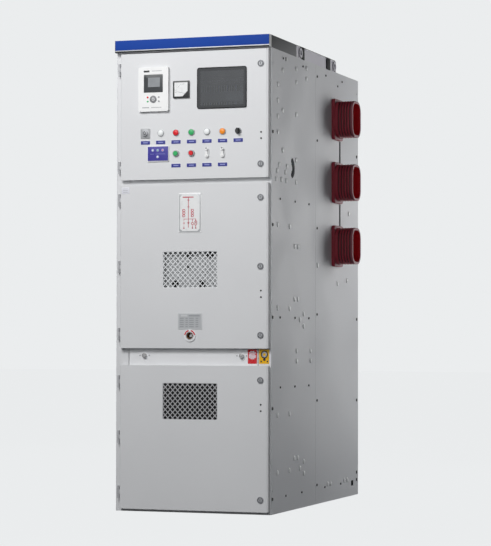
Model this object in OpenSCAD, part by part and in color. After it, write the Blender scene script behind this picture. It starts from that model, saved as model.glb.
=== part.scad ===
// Withdrawable metal-clad switchgear cabinet for 12 kV.
// Origin on the floor at the middle of the footprint; the doors face -Y.

/* [Cabinet] */
// Width over the side sheets
cab_w = 800; // [790:5:820]
// Depth from the face of the doors to the rear edge
cab_d = 1500; // [1490:5:1520]
// Height of the side sheets
body_h = 2240; // [2236:1:2244]
// Height over the lintel
cab_h = 2300; // [2298:1:2304]
// Thickness of the folded steel sheet
sheet = 2; // [1.5:0.5:2]
// How far the doors stand in front of the posts
door_proud = 25; // [24:1:28]
// Depth of the seam between the front and rear side sheets
seam_y = -20; // [-22:1:-18]

/* [Doors] */
// Left edge of the doors
door_left = -372; // [-374:1:-370]
// Right edge of the doors
door_right = 386; // [380:1:388]
// Lower edge of the cable door
cable_door_z = 13; // [10:1:16]
// Height of the cable door
cable_door_h = 698; // [690:1:700]
// Height of the sill between cable door and breaker door
sill_h = 83; // [80:1:86]
// Height of the breaker door
breaker_door_h = 795; // [790:1:796]
// Height of the strip between breaker door and instrument door
strip_h = 25; // [22:1:28]
// Height of the instrument door
instrument_door_h = 618; // [610:1:620]
// Depth of a door pan
pan_d = 24; // [22:1:24]
// Radius of the upright edges of a door
door_edge_r = 5; // [3:1:8]
// Width of the lip folded round the back of a door
door_lip = 16; // [12:1:20]
// Depth of the hinge pins
hinge_y = -740; // [-742:1:-738]
// Sideways place of the hinge pins
hinge_x = -381; // [-382:1:-380]
// Height of a hinge
hinge_h = 60; // [50:2:70]
// Radius of a hinge barrel
hinge_r = 6; // [5:0.5:7]
// Sideways place of the locks
lock_x = 354; // [352:1:354]
// Radius of the turning plug of a lock
lock_r = 9; // [8:0.5:10]
// Length of a lock tongue from its axis
tongue_len = 36; // [34:1:38]

/* [Door furniture] */
// Width and height of the relay bezel
relay_size = [156, 216]; // [140:1:240]
// Middle of the relay
relay_at = [-194, 2054]; // [-400:1:2200]
// Width and height of the smoked window
window_size = [251, 197]; // [180:1:260]
// Middle of the smoked window
window_at = [156, 2051]; // [-400:1:2200]
// Side of the square ammeter
meter_side = 84; // [72:1:96]
// Middle of the ammeter
meter_at = [-52, 2049]; // [-400:1:2200]
// Spacing of the lamps and switches
device_pitch = 80; // [80:1:81]
// Height of the upper row of lamps and switches
row_1_z = 1840; // [1835:1:1845]
// Height of the lower row of buttons and links
row_2_z = 1739; // [1735:1:1745]
// Width and height of the position display
display_size = [111, 76]; // [90:1:120]
// Middle of the position display
display_at = [-172, 1739]; // [-400:1:2200]
// Width and height of a mesh window
mesh_size = [282, 176]; // [240:2:300]
// Sideways middle of mesh windows, rating plate and racking port
mesh_x = -6; // [-8:1:6]
// Height of the middle of the upper mesh window
mesh_1_z = 1174; // [1160:1:1190]
// Height of the middle of the lower mesh window
mesh_2_z = 538; // [520:1:560]
// Width and height of one diamond of the mesh
diamond = [25.6, 27]; // [20:0.2:32]
// Width of a strand of the mesh
strand = 4; // [3:0.5:5]
// Height of the racking port and screw
rack_z = 855; // [855:1:858]
// Radius of the racking port
rack_port_r = 20; // [16:1:24]

/* [Sill and earthing port] */
// Half the width of the removable sill cover
sill_half = 332; // [330:1:333]
// Place of the earthing port
earth_port = [366, 765]; // [360:1:770]
// Radius of the earthing port
earth_port_r = 12; // [11:1:13]

/* [Wall bushings] */
// Depth of the bushings' axis
bushing_y = 336; // [330:1:340]
// Heights of the three bushings
bushing_z = [1325, 1657, 1989]; // [1300:1:2000]
// Width and height of the bushing flange
bushing_flange = [156, 214]; // [150:1:224]
// Thickness of the bushing flange
bushing_flange_t = 17; // [12:1:20]
// Width and height over the ribs and the rim
bushing_rim = [158, 190]; // [152:1:200]
// Corner radius of the ribs and the rim
bushing_r = 56; // [40:1:78]
// Height of a rib above the barrel
rib_h = 7; // [4:1:8]
// Wall of the barrel
barrel_wall = 5; // [5:1:8]
// Reach of the bushing beyond the side sheet
bushing_out = 114; // [100:1:120]
// Number of ribs
rib_count = 4; // [3:1:4]

/* [Contacts] */
// Spacing of the phases
phase_pitch = 210; // [205:1:210]
// Height of the lower contacts
lower_z = 1080; // [1078:1:1082]
// Height between lower and upper contacts
contact_rise = 275; // [273:1:276]
// Racking travel from test to service
travel = 200; // [180:5:200]
// Radius of an insulated contact arm
arm_r = 36; // [34:1:37]
// Radius of the fixed contact rod
pin_r = 17.5; // [16:0.5:18]

/* [Earthing switch] */
// Depth of the earthing shaft
earth_y = 250; // [248:1:252]
// Radius of the earthing shaft
earth_r = 14; // [12:1:15]
// Length of an earthing blade from the shaft axis
blade_len = 170; // [160:1:175]

/* [Hidden] */
$fn = 48;
clear = 0.05;
half_w = cab_w / 2;
in_w = half_w - sheet;
face_y = -cab_d / 2;
frame_y = face_y + door_proud;
rear_y = cab_d / 2;
breaker_door_z = cable_door_z + cable_door_h + sill_h;
instrument_door_z = breaker_door_z + breaker_door_h + strip_h;
cable_door_top = cable_door_z + cable_door_h;
breaker_door_top = breaker_door_z + breaker_door_h;
instrument_door_top = instrument_door_z + instrument_door_h;
cable_hinges = [93, 362, 631];
breaker_hinges = [862, 1190, 1517];
instrument_hinges = [1676, 2157];
cable_locks = [72, 643];
breaker_locks = [858, 1188, 1518];
instrument_locks = [1679, 2161];
pan_back = face_y + pan_d;
stiffener_x = 290;
post_w = 33;
post_d = 43;
base_h = 28;
base_w = 60;
base_t = 3;
anchor = [370, 700];
anchor_r = 7;
join_y = [-706, 720];
join_z = [112, 2166];
join_r = 4.5;
shelf_z = 1600;
chamber_y = -332;
floor_z = 776;
bus_floor_z = 1165;
channel_y = 560;
partition_y = seam_y + 2.5;
upper_z = lower_z + contact_rise;
phases = [-phase_pitch, 0, phase_pitch];
duct_y = [-336, 327];
duct_top = 2296;
duct_hinge_z = 2300.5;
flap_hinge_r = 4;
link_half = 15;
flap_hinge_x = [-250, 250];
eye_y = [-269, 309];
eye_z = 2268;
eye_r = 13;
rail_x = [322, 343];
rail_top = floor_z + 6;
wheel_r = 22;
wheel_z = rail_top + wheel_r + 0.3;
wheel_y = [-620, -320];
chassis_x = 320;
chassis_y = [-680, -262];
chassis_z = [790, 875];
beam_y = [-712, -690];
screw_r = 10;
box_y = [-668, -530];
button_x = [-23, 86];
crank_x = [-93, 46];
crank_z = 1106;
crank_r = 15;
button_z = 1246;
pole_y = -450;
pole_r = 72;
arm_start = -370;
arm_tip = -165;
tulip_len = 50;
shutter_y = -47;
pot_face = partition_y - 8;
pot_rear = 120;
bar_y = 150;
bar_t = 8;
bar_half = 30;
blade_gap = 12;
lug_r = 6.5;
grey = [0.80, 0.81, 0.82];
zinc = [0.60, 0.62, 0.64];
copper = [0.75, 0.42, 0.25];
epoxy = [0.38, 0.10, 0.13];
dark = [0.16, 0.17, 0.18];

// Block between two limits on each axis
module span(x, y, z) {
    translate([x[0], y[0], z[0]]) cube([x[1] - x[0], y[1] - y[0], z[1] - z[0]]);
}

// The same thing on the left and on the right
module both_sides() {
    children();
    mirror([1, 0, 0]) children();
}

// Flat shape drawn as seen from the front, between two depths
module front_plate(y) {
    translate([0, y[1], 0]) rotate([90, 0, 0]) linear_extrude(y[1] - y[0]) children();
}

// Flat shape drawn in depth and height, between two widths
module side_plate(x) {
    translate([x[0], 0, 0]) rotate([90, 0, 90]) linear_extrude(x[1] - x[0]) children();
}

module rod_x(r, x) {
    translate([x[0], 0, 0]) rotate([0, 90, 0]) cylinder(r = r, h = x[1] - x[0]);
}

module rod_y(r, y) {
    translate([0, y[0], 0]) rotate([-90, 0, 0]) cylinder(r = r, h = y[1] - y[0]);
}

module rod_z(r, z) {
    translate([0, 0, z[0]]) cylinder(r = r, h = z[1] - z[0]);
}

// Rectangle with round corners about the origin
module rounded(size, r) {
    square([size[0] - 2 * r, size[1]], center = true);
    square([size[0], size[1] - 2 * r], center = true);
    for (sx = [-1, 1], sy = [-1, 1])
        translate([sx * (size[0] / 2 - r), sy * (size[1] / 2 - r)]) circle(r);
}

// Upright slot shape with round ends
module stadium(size) {
    rise = (size[1] - size[0]) / 2;
    square([size[0], 2 * rise], center = true);
    for (s = [-1, 1]) translate([0, s * rise]) circle(size[0] / 2);
}

// Base: four angle bars and two lift-out floor plates
module floor_frame() {
    plate_y = [-700, 200, 700];
    gland_y = 430;
    gland_r = 45;
    color(zinc) {
        for (back = [0, 1]) mirror([0, back, 0]) difference() {
            y0 = back ? -rear_y + sheet : frame_y + sheet;
            union() {
                span([-in_w, in_w], [y0, y0 + base_w], [0, base_t]);
                span([-in_w, in_w], [y0, y0 + base_t], [0, base_h]);
            }
            for (sx = [-1, 1]) translate([sx * anchor[0], -anchor[1], -1]) cylinder(r = anchor_r, h = 9);
        }
        both_sides() {
            bar = [frame_y + sheet + base_w, rear_y - sheet - base_w];
            span([in_w - base_w, in_w], bar, [0, base_t]);
            span([in_w - base_t, in_w], bar, [base_t, base_h]);
        }
        span([-350, 350], [plate_y[0], plate_y[1]], [base_t, base_t + sheet]);
        difference() {
            span([-350, 350], [plate_y[1] + 1, plate_y[2]], [base_t, base_t + sheet]);
            for (x = phases) translate([x, gland_y, 0]) cylinder(r = gland_r, h = base_h);
        }
    }
}

// Posts beside the doors and the strips between them
module front_frame() {
    sill_z = [cable_door_top - 11, breaker_door_z + 12];
    sill_edge = half_w - 15;
    sill_gap = 3;
    inner = half_w - post_w - 2;
    skin = [frame_y, frame_y + sheet];
    color(grey) {
        both_sides() difference() {
            union() {
                span([inner, in_w], skin, [0, body_h]);
                span([in_w - sheet, in_w], [skin[1], skin[1] + post_d], [base_h + 2, body_h - 2]);
            }
            span([inner - 1, sill_edge], [skin[0] - 1, skin[1] + 1], sill_z);
            for (z = join_z) translate([0, join_y[0], z]) rod_x(join_r, [in_w - 9, in_w + 1]);
        }
        difference() {
            both_sides() span([sill_half + sill_gap, sill_edge], skin, sill_z);
            translate([earth_port[0], 0, earth_port[1]]) rod_y(earth_port_r, [skin[0] - 1, skin[1] + 1]);
        }
        strip([0, base_h + 2], base_h);
        strip([breaker_door_top - 11, instrument_door_z + 12], instrument_door_z + 10);
        strip([instrument_door_top - 10, body_h], instrument_door_top - 10);
    }
    module strip(z, lip_z) {
        span([-inner, inner], skin, z);
        span([-inner, inner], [skin[1], skin[1] + 16], [lip_z, lip_z + sheet]);
    }
}

// Left side sheets, front half and rear half
module left_panels() {
    color(grey) mirror([1, 0, 0]) {
        span([in_w, half_w], [frame_y, seam_y - 0.5], [0, body_h]);
        rear_half();
    }
}

// Rear side sheet with a flange folded in at the seam and at the back
module rear_half() {
    flange = 18;
    span([in_w, half_w], [seam_y + 0.5, rear_y], [0, body_h]);
    for (y = [seam_y + 0.5, rear_y - 2 * sheet])
        span([in_w - flange, in_w], [y, y + sheet], [base_h + 2, body_h - 2]);
}

module join_holes(y) {
    for (z = join_z) translate([0, y, z]) rod_x(join_r, [in_w - 1, half_w + 1]);
}

// Front half of the right side, with the curved slot of the shutter linkage
module right_front_panel() {
    arc_at = [-419, 1681];
    arc_r = 34;
    arc_w = 22;
    arc_half = 78;
    arc_end_r = 10.5;
    reach = 2 * arc_r;
    wedge = [[0, 0], reach * [cos(arc_half), -sin(arc_half)], [reach, -reach], [reach, reach],
        reach * [cos(arc_half), sin(arc_half)]];
    color(grey) difference() {
        span([in_w, half_w], [frame_y, seam_y - 0.5], [0, body_h]);
        join_holes(join_y[0]);
        side_plate([in_w - 1, half_w + 1]) translate(arc_at) {
            intersection() {
                difference() {
                    circle(arc_r + arc_w / 2);
                    circle(arc_r - arc_w / 2);
                }
                polygon(wedge);
            }
            for (a = [-arc_half, arc_half]) rotate(a) translate([arc_r, 0]) circle(arc_end_r);
        }
    }
}

// Rear half of the right side, with bushing cut-outs joined by narrow slots
module right_rear_panel() {
    slit_y = [402, 412];
    slot_y = [618, 658];
    slot_z = [53, 81];
    cut = bushing_rim - [1, 1] * 2 * (rib_h - 1);
    color(grey) difference() {
        rear_half();
        join_holes(join_y[1]);
        for (z = bushing_z) side_plate([in_w - 1, half_w + 1])
            translate([bushing_y, z]) rounded(cut, bushing_r - rib_h + 1);
        for (i = [0, 1])
            span([in_w - 1, half_w + 1], slit_y, [bushing_z[i] + 60, bushing_z[i + 1] - 60]);
        span([in_w - 1, half_w + 1], slot_y, slot_z);
    }
}

// Upper and lower covers on the back, each with two stiffening channels and a row of screws down each side
module rear_covers() {
    cover_x = [-in_w + 1, in_w - 1];
    zones = [[12, bus_floor_z], [bus_floor_z + 6, body_h - 4]];
    screw_x = in_w - 20;
    screw_r = 6;
    screw_h = 2.4;
    screw_from_end = 48;
    screw_rows = 6;
    color(grey) for (z = zones) {
        pitch = (z[1] - z[0] - 2 * screw_from_end) / (screw_rows - 1);
        span(cover_x, [rear_y - sheet, rear_y], z);
        for (x = [-180, 180]) span([x - 20, x + 20], [rear_y - 12, rear_y - sheet], [z[0] + 40, z[1] - 40]);
        for (x = [-screw_x, screw_x], i = [0 : screw_rows - 1])
            translate([x, 0, z[0] + screw_from_end + i * pitch])
                rod_y(screw_r, [rear_y - 1, rear_y + screw_h]);
    }
}

// Roof strips round the relief openings, and the trough for control wires behind the lintel
module roof_frame() {
    strip_x = 340;
    z = [body_h - sheet, body_h];
    cross_y = [[frame_y + sheet, -700], [-360, -310], [-40, 0], [290, 575], [725, rear_y - 2 * sheet]];
    trough_y = [frame_y - 1, duct_y[0] - sheet];
    color(zinc) {
        both_sides() span([strip_x, in_w - 2 * sheet], [frame_y + 2 * sheet, rear_y - 2 * sheet], z);
        for (y = cross_y) span([-strip_x, strip_x], y, z);
        both_sides() span([in_w, half_w], trough_y, [body_h + 1, cab_h]);
        span([-in_w, in_w], [trough_y[0] + 26, trough_y[1]], [cab_h - sheet, cab_h]);
        span([-in_w, in_w], [trough_y[1] - sheet, trough_y[1]], [body_h, cab_h - sheet]);
        hinge_blocks(channel_y - 8, body_h + flap_hinge_r + 0.5, -7);
    }
}

// Fixed knuckles of a flap with their pins, on a foot that reaches to one side of the axis
module hinge_blocks(y, z, reach) {
    for (x = flap_hinge_x) {
        translate([0, y, z]) rod_x(1.5, [x - 40, x + 40]);
        for (s = [-1, 1]) {
            width = [x + s * 30 - 10, x + s * 30 + 10];
            translate([0, y, z]) rod_x(flap_hinge_r, width);
            span(width, [min(y, y + reach), max(y, y + reach)], [z - flap_hinge_r - 0.5, z]);
        }
    }
}

// Folded lintel over the instrument door
module lintel() {
    front = face_y - 6;
    flange_y = [frame_y - 2, frame_y + 20];
    color(grey) {
        span([-half_w, half_w], [front, front + sheet], [body_h, cab_h]);
        for (z = [body_h, cab_h - sheet]) {
            span([-half_w, half_w], [front + sheet, flange_y[0]], [z, z + sheet]);
            span([-in_w + 0.5, in_w - 0.5], flange_y, [z, z + sheet]);
        }
        both_sides() span([in_w, half_w], [front + sheet, flange_y[0]], [body_h + sheet, cab_h - sheet]);
    }
}

// Relief duct on the roof: walls with a rim, a dividing wall and four lifting eyes
module relief_duct() {
    rim_z = [duct_top - sheet, duct_top];
    rim = 30;
    eye_half = 29;
    eye_t = 6;
    walls = [[duct_y[0], eye_y[0] - eye_half], [eye_y[0] + eye_half, eye_y[1] - eye_half]];
    color([0.68, 0.68, 0.71]) {
        both_sides() for (y = walls) {
            span([in_w - sheet, in_w], y, [body_h, rim_z[0]]);
            span([in_w - rim, half_w], y, rim_z);
        }
        for (y = [duct_y[0], duct_y[1] - sheet])
            span([-in_w + sheet, in_w - sheet], [y, y + sheet], [body_h, rim_z[0]]);
        span([-in_w + rim, in_w - rim], [duct_y[0], duct_y[0] + rim], rim_z);
        span([-in_w + rim, in_w - rim], [duct_y[1] - rim, duct_y[1]], rim_z);
        span([-in_w + sheet, in_w - sheet], [seam_y, seam_y + sheet], [body_h, rim_z[0]]);
        span([-in_w + rim, in_w - rim], [seam_y - 15, seam_y + 17], rim_z);
        both_sides() for (y = eye_y) lifting_eye(y, eye_half, eye_t);
        hinge_blocks(duct_y[0] + 7, duct_hinge_z, -7);
        hinge_blocks(duct_y[1] - 7, duct_hinge_z, 7);
    }
}

// Plate with a collared hole that a lifting hook goes through
module lifting_eye(y, half, t) {
    difference() {
        union() {
            span([half_w - t, half_w], [y - half + 0.1, y + half - 0.1], [body_h, duct_top]);
            translate([0, y, eye_z]) rod_x(eye_r + 11, [half_w, half_w + 3]);
        }
        translate([0, y, eye_z]) rod_x(eye_r, [half_w - t - 1, half_w + 4]);
    }
}

// Relief flap; dir is 1 where it lies behind its hinge and -1 where it lies in front
module flap(axis_y, axis_z, depth, dir, half) {
    plate_z = axis_z - flap_hinge_r;
    color(zinc) difference() {
        union() {
            translate([0, dir > 0 ? axis_y + 4.6 : axis_y - 4.6 - depth, 0])
                span([-half, half], [0, depth], [plate_z, plate_z + sheet]);
            for (x = flap_hinge_x) {
                translate([0, axis_y, axis_z]) rod_x(flap_hinge_r, [x - 19.5, x + 19.5]);
                span([x - 19.5, x + 19.5], dir > 0 ? [axis_y, axis_y + 8] : [axis_y - 8, axis_y],
                    [plate_z, axis_z - 1]);
            }
        }
        translate([0, axis_y, axis_z]) rod_x(1.5 + clear, [-300, 300]);
    }
}

module flap_breaker() {
    flap(duct_y[0] + 7, duct_hinge_z, 300, 1, 380);
}

module flap_busbar() {
    flap(duct_y[1] - 7, duct_hinge_z, 326, -1, 380);
}

module flap_cable() {
    flap(channel_y - 8, body_h + flap_hinge_r + 0.5, 178, 1, 350);
}

// Shelves, floors and walls between the compartments, with the truck rails
module compartment_walls() {
    color(zinc) {
        span([-in_w + 2, in_w - 2], [frame_y + sheet, chamber_y], [shelf_z, shelf_z + sheet]);
        span([-in_w, in_w], [chamber_y, chamber_y + sheet], [shelf_z, body_h - sheet]);
        translate([0, 0, floor_z]) linear_extrude(sheet) union() {
            translate([-in_w + 2, frame_y + sheet]) square([2 * in_w - 4, seam_y - frame_y - sheet]);
            translate([-in_w + 20, seam_y - 1]) square([2 * in_w - 40, partition_y - seam_y + 1]);
        }
        span([-in_w, in_w], [partition_y + sheet, channel_y + sheet], [bus_floor_z, bus_floor_z + sheet]);
        span([-in_w, in_w], [channel_y, channel_y + sheet], [bus_floor_z + sheet, body_h - sheet]);
        both_sides() truck_rail();
    }
}

module truck_rail() {
    length = [frame_y + sheet, -60];
    floor_top = floor_z + sheet;
    span(rail_x, length, [floor_top, rail_top]);
    span([rail_x[1] - 3, rail_x[1]], length, [rail_top, rail_top + 30]);
    difference() {
        span([rail_x[1] - 8, rail_x[1] - 3.1], [beam_y[0], beam_y[1] + 8], [rail_top, 850]);
        span([rail_x[1] - 9, rail_x[1]], [beam_y[1] - 1, beam_y[1] + 7], [832, 848]);
    }
}

// Wall behind the truck with six round holes, and guides for the shutters
module partition_wall() {
    z = [440, body_h - sheet];
    pot_hole_r = 75;
    guide_z = [floor_z + 20, 1720];
    color(zinc) {
        difference() {
            span([-in_w, in_w], [partition_y, partition_y + sheet], z);
            for (x = phases, h = [lower_z, upper_z])
                translate([x, 0, h]) rod_y(pot_hole_r, [partition_y - 1, partition_y + 9]);
            translate([earth_port[0], 0, earth_port[1]]) rod_y(15, [partition_y - 1, partition_y + 9]);
        }
        both_sides() difference() {
            span([338, 352], [shutter_y - 5, partition_y], guide_z);
            span([337, 347], [shutter_y - 0.8, shutter_y + sheet + 0.8], [guide_z[0] - 1, guide_z[1] + 1]);
        }
    }
}

// Six insulating pots round the fixed contacts
module contact_boxes() {
    flange = 180;
    color(epoxy) for (x = phases, h = [lower_z, upper_z]) translate([x, 0, h]) difference() {
        union() {
            front_plate([pot_face, partition_y]) rounded([flange, flange], 14);
            rod_y(74, [partition_y, pot_rear - 20]);
            translate([0, pot_rear - 20, 0]) rotate([-90, 0, 0]) cylinder(r1 = 74, r2 = 52, h = 20);
            rod_y(40, [pot_rear, pot_rear + 12]);
        }
        rod_y(65, [pot_face - 1, pot_rear - 16]);
        rod_y(pin_r + 0.5, [pot_face, pot_rear + 20]);
    }
}

module fixed_contact(x, z) {
    translate([x, 0, z]) {
        rod_y(pin_r, [5, bar_y]);
        rod_y(30, [pot_rear + 12, bar_y - 8]);
    }
}

// Three main bars and the bent droppers down to the upper contacts
module busbars() {
    main_t = 10;
    main_h = 80;
    foot = bar_half;
    color(copper) for (i = [0, 1, 2]) {
        x = phases[i];
        z = bushing_z[2 - i];
        span([x - 50, in_w - 26], [bushing_y - main_t / 2, bushing_y + main_t / 2],
            [z - main_h / 2, z + main_h / 2]);
        fixed_contact(x, upper_z);
        dropper(x, z);
    }
    module dropper(x, z) {
        over = z > upper_z ? 1 : -1;
        bend = z + over * foot;
        end = upper_z - over * foot;
        foot_y = bushing_y - main_t / 2 - bar_t;
        side_plate([x - bar_half, x + bar_half]) {
            translate([bar_y, min(bend, end)]) square([bar_t, abs(bend - end)]);
            translate([bar_y, over > 0 ? bend - bar_t : bend]) square([foot_y + bar_t - bar_y, bar_t]);
            translate([foot_y, z - foot]) square([bar_t, 2 * foot]);
        }
    }
}

// Bars from the lower contacts through the transformers to the cable lugs
module cable_bars() {
    drop_y = 40;
    riser_y = 440;
    top_z = 825;
    run_z = 447;
    color(copper) for (x = phases) {
        fixed_contact(x, lower_z);
        side_plate([x - bar_half, x + bar_half]) {
            translate([bar_y, top_z]) square([bar_t, lower_z + bar_half - top_z]);
            translate([drop_y, top_z]) square([bar_y - drop_y + 1, bar_t]);
        }
        difference() {
            side_plate([x - bar_half, x + bar_half]) {
                translate([drop_y, run_z]) square([riser_y - drop_y + 1, bar_t]);
                translate([riser_y, 355]) square([bar_t, 455]);
            }
            translate([x, 0, 385]) rod_y(lug_r, [riser_y - 1, riser_y + bar_t + 1]);
        }
        span([x - 9, x + 9], [395, riser_y], [earth_port[1] - 20, earth_port[1] + 20]);
    }
}

// Ribbed epoxy bushings that carry the main bars through the side sheet
module wall_bushings() {
    barrel = bushing_rim - [1, 1] * 2 * rib_h;
    bore = barrel - [1, 1] * 2 * barrel_wall;
    barrel_r = bushing_r - rib_h;
    face = half_w + bushing_flange_t;
    tip = half_w + bushing_out;
    shoulder = face + bushing_flange_t;
    rib_start = shoulder + 8;
    rib_t = 7;
    rim_t = 12;
    flange_r = 20;
    rib_pitch = (tip - rim_t - rib_start) / rib_count;
    color(epoxy) for (z = bushing_z) difference() {
        union() {
            at(z, [half_w - 50, tip]) rounded(barrel, barrel_r);
            at(z, [half_w, face]) rounded(bushing_flange, flange_r);
            at(z, [face - 1, shoulder]) rounded(bushing_rim, bushing_r);
            for (i = [0 : rib_count - 1]) {
                x = rib_start + i * rib_pitch;
                at(z, [x, x + rib_t]) rounded(bushing_rim, bushing_r);
            }
            at(z, [tip - rim_t, tip]) rounded(bushing_rim, bushing_r);
        }
        at(z, [half_w - 51, tip + 1]) rounded(bore, barrel_r - barrel_wall);
    }
    module at(z, x) {
        side_plate(x) translate([bushing_y, z]) children();
    }
}

// Cast transformers on the back of the partition, each on a foot plate with four holes
module current_transformers() {
    body = [144, 320];
    foot = [176, 250];
    foot_y = [partition_y + sheet, partition_y + sheet + 10];
    body_y = [foot_y[0], 150];
    groove = 5;
    color(epoxy) for (x = phases) translate([x, 0, 640]) {
        difference() {
            union() {
                front_plate(body_y) rounded(body, 22);
                front_plate(foot_y) rounded(foot, 10);
                span([-26, 26], [body_y[1] - 1, body_y[1] + 7], [-130, -80]);
            }
            for (sx = [-1, 1], sz = [-1, 1]) translate([sx * 80, 0, sz * 105])
                rod_y(5.5, [foot_y[0] - 1, foot_y[1] + 1]);
            for (sx = [-1, 1], h = [30 : 26 : 108]) translate([sx * body[0] / 2, 0, h])
                span([-groove, groove], [foot_y[1] + 10, body_y[1] + 1], [-groove, groove]);
        }
        for (h = [[160, 185], [-185, -160]]) span([-32, 32], [45, 110], h);
    }
}

// Bearings and gear housing of the earthing switch, and the earth bar
module earthing_base() {
    axis_z = earth_port[1];
    gear_x = [338, in_w];
    gear_y = [earth_y - 34, earth_y + 34];
    bar_back = 706;
    color(zinc) {
        difference() {
            span([-in_w, -in_w + 20], [earth_y - 30, earth_y + 30], [axis_z - 30, axis_z + 30]);
            translate([0, earth_y, axis_z]) rod_x(earth_r + clear, [-in_w - 1, -in_w + 21]);
        }
        difference() {
            span(gear_x, gear_y, [axis_z - 34, axis_z + 34]);
            translate([0, earth_y, axis_z]) rod_x(earth_r + clear, [gear_x[0] - 1, gear_x[0] + 15]);
            translate([earth_port[0], 0, axis_z]) rod_y(8 + clear, [gear_y[0] - 1, gear_y[0] + 15]);
        }
        difference() {
            span([350, in_w - 2], [-676, -668], [axis_z - 24, floor_z]);
            translate([earth_port[0], 0, axis_z]) rod_y(8 + clear, [-677, -667]);
        }
    }
    color(zinc) both_sides() span([in_w - 18, in_w - 4], [bar_back, rear_y - 2 * sheet], [80, 100]);
    color(copper) difference() {
        span([-in_w + 4, in_w - 4], [bar_back - 6, bar_back], [70, 110]);
        for (x = [-300, 0, 300]) translate([x, 0, 90]) rod_y(lug_r, [bar_back - 7, bar_back + 1]);
    }
}

// Earthing shaft with three pairs of blades, hanging down when open
module earthing_blades() {
    axis_z = earth_port[1];
    hub_r = 24;
    color(copper) {
        translate([0, earth_y, axis_z]) rod_x(earth_r, [-in_w + 4, 352]);
        for (x = phases) {
            translate([0, earth_y, axis_z]) rod_x(hub_r, [x - 30, x + 30]);
            for (s = [-1, 1]) {
                x0 = s > 0 ? x + blade_gap : x - blade_gap - 5;
                span([x0, x0 + 5], [earth_y - 18, earth_y + 18], [axis_z - blade_len + 18, axis_z]);
                translate([0, earth_y, axis_z - blade_len + 18]) rod_x(18, [x0, x0 + 5]);
            }
        }
    }
}

// Long shaft from the earthing port to the gear housing, with a hexagon end
module earthing_drive() {
    color(zinc) translate([earth_port[0], 0, earth_port[1]]) {
        rod_y(8, [-700, earth_y - 20]);
        translate([0, -718, 0]) rotate([-90, 0, 0]) cylinder(r = 8, h = 18, $fn = 6);
    }
}

// Outer knuckles and pins of the door hinges, with leaves on the left post
module frame_hinges() {
    third = hinge_h / 3;
    color(zinc) for (z = concat(cable_hinges, breaker_hinges, instrument_hinges)) {
        translate([hinge_x, hinge_y, z]) rod_z(2.5, [-hinge_h / 2, hinge_h / 2]);
        for (s = [-1, 1]) translate([0, 0, z + s * third]) {
            translate([hinge_x, hinge_y, 0]) rod_z(hinge_r, [-third / 2, third / 2]);
            span([hinge_x - 5, hinge_x + 5], [hinge_y, frame_y], [-third / 2, third / 2]);
        }
    }
}

// Terminal rows and wiring ducts on the back wall of the instrument chamber
module terminal_rails() {
    block = [9, 40, 44];
    count = 38;
    color(dark) for (z = [1760, 1960, 2130]) {
        span([-240, 240], [chamber_y - 8, chamber_y], [z - 17, z + 17]);
        translate([-count * block[0] / 2, chamber_y - 8 - block[1], z - block[2] / 2])
            span([0, count * block[0]], [0, block[1]], [0, block[2]]);
    }
    color(dark) for (z = [1860, 2050]) span([-300, 300], [chamber_y - 60, chamber_y], [z - 25, z + 25]);
}

// Lift-off cover of the sill, with the round knobs that hold it
module sill_cover() {
    z = [cable_door_top - 11, breaker_door_z + 12];
    knob_x = 251;
    color(grey) {
        span([-sill_half, sill_half], [frame_y, frame_y + sheet], z);
        both_sides() translate([knob_x, 0, 759]) {
            rod_y(13, [frame_y - 4, frame_y]);
            rod_y(10, [frame_y - 12, frame_y - 4]);
        }
    }
}

// Folded door pan with its hinge knuckles and lock tubes; the children are cut out of it
module door(z, hinges, locks) {
    inset = door_edge_r;
    color(grey) difference() {
        union() {
            difference() {
                translate([0, 0, z[0]]) linear_extrude(z[1] - z[0]) pan_plan();
                span([door_left + sheet, door_right - sheet], [face_y + sheet, pan_back - sheet],
                    [z[0] + sheet, z[1] - sheet]);
                span([door_left + door_lip, door_right - door_lip], [pan_back - 3, pan_back + 1],
                    [z[0] + door_lip, z[1] - door_lip]);
            }
            for (h = hinges) door_knuckle(h);
            for (h = locks) translate([lock_x, 0, h]) rod_y(14, [face_y - 3, pan_back - 1]);
            for (x = [-stiffener_x, stiffener_x]) stiffener(x, z);
        }
        for (h = locks) translate([lock_x, 0, h]) rod_y(lock_r + clear, [face_y - 4, pan_back]);
        children();
    }
    module pan_plan() {
        translate([door_left + inset, face_y]) square([door_right - door_left - 2 * inset, pan_d]);
        translate([door_left, face_y + inset]) square([door_right - door_left, pan_d - inset]);
        for (x = [door_left + inset, door_right - inset]) translate([x, face_y + inset]) circle(inset);
    }
}

// Hat-shaped stiffener welded upright inside a door, open at both ends
module stiffener(x, z) {
    half = 16;
    depth = 16;
    wall = 1.5;
    back = face_y + sheet;
    translate([x, 0, z[0] + door_lip]) linear_extrude(z[1] - z[0] - 2 * door_lip) difference() {
        translate([-half, back - 0.5]) square([2 * half, depth + 0.5]);
        translate([wall - half, back]) square([2 * (half - wall), depth - wall]);
    }
}

module door_knuckle(z) {
    half = hinge_h / 6 - 0.5;
    difference() {
        union() {
            translate([hinge_x, hinge_y, z]) rod_z(hinge_r, [-half, half]);
            span([hinge_x, door_left + 0.5], [hinge_y - 3, hinge_y + 4], [z - half, z + half]);
        }
        translate([hinge_x, hinge_y, z]) rod_z(2.5 + clear, [-hinge_h, hinge_h]);
    }
}

module front_hole(at, r) {
    translate([at[0], 0, at[1]]) rod_y(r, [face_y - 9, face_y + 9]);
}

module front_cut(at, size, r) {
    front_plate([face_y - 9, face_y + 9]) translate(at) rounded(size, r);
}

function row_1(i) = [i * device_pitch, row_1_z];
function row_2(i) = [i * device_pitch, row_2_z];

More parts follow.
